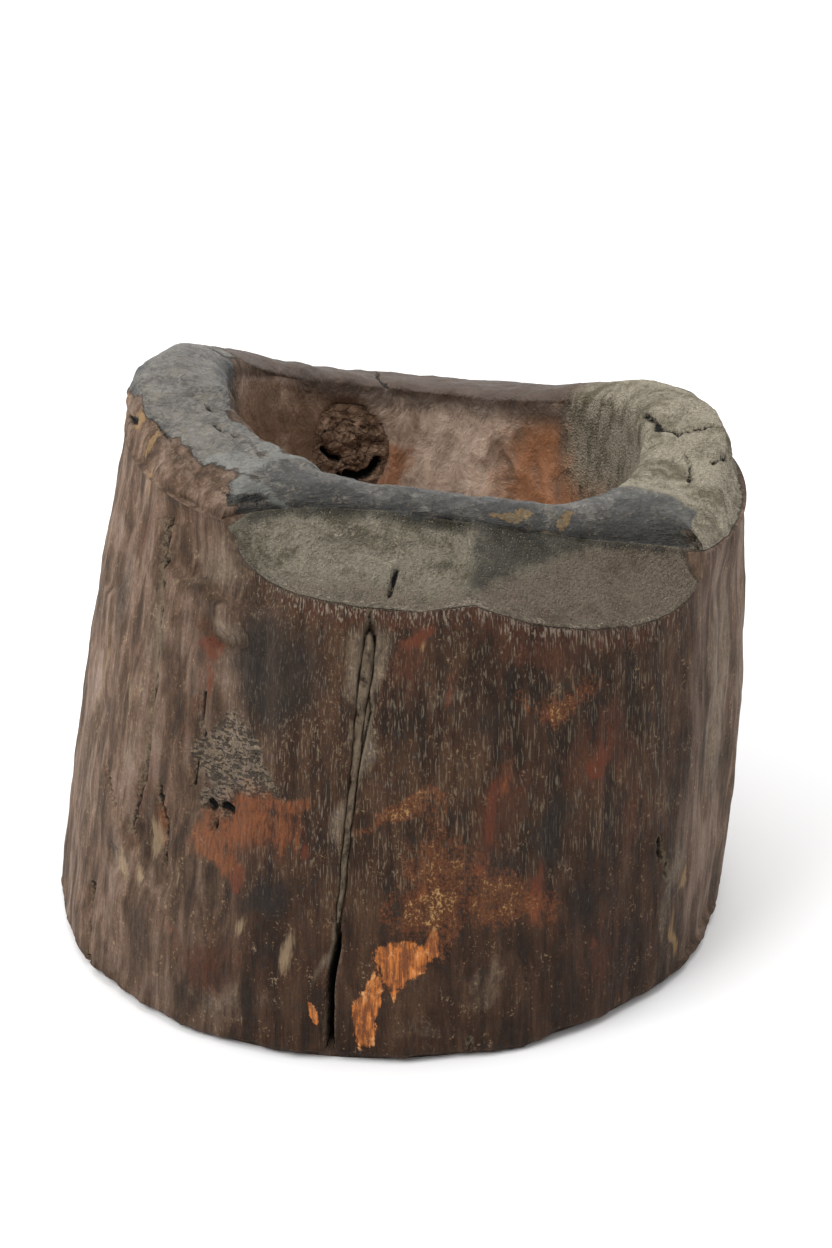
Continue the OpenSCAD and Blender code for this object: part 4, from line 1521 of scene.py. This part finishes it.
@dataclass
class Pestle:
    """The short waisted pestle, spun upright and laid in the bowl as the frame has it."""

    head: float = 34.0
    waist: float = 21.0
    top: float = 26.0
    length: float = 100.0
    waist_at: float = 0.55
    columns: int = 96
    dome_rings: int = 14
    body_rings: int = 60

    def _outline(self) -> list[tuple[float, float]]:
        """Radius and height pairs from the grinding end up, poles left out."""
        low, high = self.head / 2, self.top / 2
        span = self.length - low - high
        points = []
        for k in range(1, self.dome_rings + 1):
            a = math.radians(90 * k / self.dome_rings)
            points.append((low * math.sin(a), low * (1 - math.cos(a))))
        for k in range(1, self.body_rings):
            f = k / self.body_rings
            if f < self.waist_at:
                share, a, b = f / self.waist_at, self.head, self.waist
            else:
                share, a, b = (f - self.waist_at) / (1 - self.waist_at), self.waist, self.top
            blend = (1 - math.cos(math.pi * share)) / 2
            points.append(((a + (b - a) * blend) / 2, low + span * f))
        for k in range(self.dome_rings, 0, -1):
            a = math.radians(90 * k / self.dome_rings)
            points.append((high * math.sin(a), low + span + high * math.cos(a)))
        return points

    def _resting_place(self) -> Matrix:
        """Where the frame's pestle lies, read from its two ends."""
        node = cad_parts["pestle"]
        co = np.array([v.co for v in node.data.vertices])
        middle = co.mean(0)
        axis = np.linalg.svd(co - middle, full_matrices=False)[2][0]
        axis = axis if axis[2] > 0 else -axis
        along = (co - middle) @ axis
        base = middle + axis * along.min()
        tilt = Vector((0, 0, 1)).rotation_difference(Vector(axis)).to_matrix().to_4x4()
        return Matrix.Translation(Vector(base)) @ tilt

    def build(self) -> bpy.types.Object:
        """Spins the outline, carves it lightly and lays it in the bowl."""
        bm = bmesh.new()
        line = [bm.verts.new((r * MM, 0, z * MM)) for r, z in self._outline()]
        spin_line(bm, line, self.columns)
        close_ends(bm)
        co = np.array([v.co for v in bm.verts]) / MM
        along = co[:, 2] / self.length
        facet = 0.25 + 0.35 * grain(co, (9, 9, 40), 2, 4.2) + 0.12 * grain(co, (2, 2, 9), 2, 1.1)
        shrink = 1 - np.clip(facet, 0, None) * smooth(np.hypot(co[:, 0], co[:, 1]), 0, 5) / 18
        rest = self._resting_place()
        for vert, s in zip(bm.verts, shrink):
            vert.co = rest @ Vector((vert.co.x * s, vert.co.y * s, vert.co.z))
        piece = finished_piece("pestle_wood", bm)
        paint(piece, "along", along.astype(np.float32))
        return piece

    def dress(self) -> bpy.types.Object:
        """Builds the pestle, gives it its finish and hangs it on its body."""
        piece = self.build()
        piece.data.materials.append(HandledWood().material())
        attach(piece, "pestle")
        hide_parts("pestle")
        return piece


# ----------------------------------------------------------------------- mesh helpers


def finished_piece(name: str, bm: bmesh.types.BMesh) -> bpy.types.Object:
    """Turns a bmesh into a smooth-shaded object at the origin.

    Args:
        name: Name of the object and its mesh.
        bm: The mesh, which is freed.

    Returns:
        The new object.
    """
    mesh = bpy.data.meshes.new(name)
    bm.to_mesh(mesh)
    bm.free()
    mesh.polygons.foreach_set("use_smooth", [True] * len(mesh.polygons))
    piece = bpy.data.objects.new(name, mesh)
    bpy.context.scene.collection.objects.link(piece)
    return piece


def spin_line(bm: bmesh.types.BMesh, line: list[bmesh.types.BMVert], columns: int) -> None:
    """Joins points into a line and spins it a full turn round the z axis.

    Args:
        bm: The mesh that holds the points.
        line: The points in order.
        columns: Number of steps in the turn.
    """
    edges = [bm.edges.new(pair) for pair in zip(line, line[1:])]
    bmesh.ops.spin(
        bm,
        geom=line + edges,
        cent=(0, 0, 0),
        axis=(0, 0, 1),
        dvec=(0, 0, 0),
        angle=math.tau,
        steps=columns,
        use_merge=True,
        use_duplicate=False,
    )


def close_ends(bm: bmesh.types.BMesh) -> None:
    """Closes the open rings at both poles of a spun shape with fans."""
    bmesh.ops.holes_fill(bm, edges=[e for e in bm.edges if e.is_boundary], sides=0)
    bmesh.ops.poke(bm, faces=[f for f in bm.faces if len(f.verts) > 4])
    bmesh.ops.recalc_face_normals(bm, faces=bm.faces)


def thicken(bm: bmesh.types.BMesh, toward: Vector, thickness: float) -> None:
    """Turns a sheet to face one way and thickens it behind.

    Args:
        bm: The mesh, which holds only the sheet.
        toward: The way the sheet faces.
        thickness: Thickness in millimetres.
    """
    faces = list(bm.faces)
    bmesh.ops.recalc_face_normals(bm, faces=faces)
    if sum((f.normal for f in faces), Vector()).dot(toward) < 0:
        bmesh.ops.reverse_faces(bm, faces=faces)
    bmesh.ops.solidify(bm, geom=faces, thickness=thickness * MM)
    bmesh.ops.recalc_face_normals(bm, faces=bm.faces)


def paint(piece: bpy.types.Object, name: str, values: np.ndarray) -> None:
    """Stores one value for each vertex of a piece under a name."""
    layer = piece.data.attributes.new(name, "FLOAT", "POINT")
    layer.data.foreach_set("value", values)


# ------------------------------------------------------------------------------ studio


@dataclass(frozen=True)
class SoftLight:
    """A square light: where it hangs and how wide it is in metres, and its power in watts."""

    name: str
    at: tuple[float, float, float]
    size: float
    power: float


@dataclass
class Studio:
    """White floor, white surroundings, soft lights and the camera."""

    floor_half: float = 6.0
    floor_white: float = 0.86
    lights: tuple[SoftLight, ...] = (
        SoftLight("window", (-1.1, -0.9, 1.5), 1.1, 26.0),
        SoftLight("top", (0.2, 0.3, 1.9), 1.4, 14.0),
    )
    aim: tuple[float, float, float] = (0.0, 0.0, 0.08)
    dim_from: tuple[float, float] = (0.1, 0.95)
    dim_range: tuple[float, float] = (1.15, 0.3)
    camera_at: tuple[float, float, float] = (0.0065, -0.6519, 0.3623)
    camera_pitch: float = 23.38
    lens: float = 70.0
    sensor: float = 36.0

    def _floor(self) -> None:
        """Lays the plain floor."""
        bm = bmesh.new()
        bmesh.ops.create_grid(bm, x_segments=1, y_segments=1, size=self.floor_half)
        floor = finished_piece("floor", bm)
        t = Tree("white_floor")
        surface = t.add("ShaderNodeBsdfDiffuse", {}, {"Color": (self.floor_white,) * 3})
        t.node("ShaderNodeOutputMaterial", {}, {"Surface": surface})
        floor.data.materials.append(t.material)

    def _light(self, soft: SoftLight) -> None:
        """Hangs one soft square light that looks at the middle of the block."""
        lamp = bpy.data.lights.new(soft.name, "AREA")
        lamp.shape = "SQUARE"
        lamp.size = soft.size
        lamp.energy = soft.power
        holder = bpy.data.objects.new(soft.name, lamp)
        at = Vector(soft.at)
        holder.location = at
        holder.rotation_euler = (Vector(self.aim) - at).to_track_quat("-Z", "Y").to_euler()
        bpy.context.scene.collection.objects.link(holder)

    def _surround(self, room: Graph) -> None:
        """Makes the room white but for a dimmer side in front of the block."""
        way = room.add("ShaderNodeTexCoord", {}, {}, output="Generated")
        forward = room.add("ShaderNodeSeparateXYZ", {}, {0: way}, output="Y") * -1.0
        near, far = self.dim_from
        bright, dim = self.dim_range
        inputs = {"Value": forward, "From Min": near, "From Max": far, "To Min": bright, "To Max": dim}
        strength = room.add("ShaderNodeMapRange", {"interpolation_type": "SMOOTHSTEP"}, inputs)
        backdrop = room.nodes["Background"]
        backdrop.inputs["Color"].default_value = (1, 1, 1, 1)
        room.links.new(strength.socket, backdrop.inputs["Strength"])

    def build(self) -> None:
        """Sets up floor, light, surroundings and camera."""
        scene = bpy.context.scene
        self._floor()
        for soft in self.lights:
            self._light(soft)
        world = bpy.data.worlds.new("white_room")
        world.use_nodes = True
        self._surround(Graph(world.node_tree))
        scene.world = world
        scene.view_settings.view_transform = "Standard"
        data = bpy.data.cameras.new("camera")
        data.lens = self.lens
        data.sensor_width = self.sensor
        camera = bpy.data.objects.new("camera", data)
        camera.location = self.camera_at
        camera.rotation_euler = (math.radians(90 - self.camera_pitch), 0, 0)
        scene.collection.objects.link(camera)
        scene.camera = camera


def main() -> None:
    """Builds every piece in order, then the studio."""
    logging.basicConfig(level=logging.INFO, format="%(name)s: %(message)s")
    block = MortarBlock()
    for maker in (block, LooseKnot(block), SplitFilling(block), Pestle()):
        piece = maker.dress()
        LOG.info("%s: %d faces", piece.name, len(piece.data.polygons))
    Studio().build()


if __name__ == "__main__":
    main()
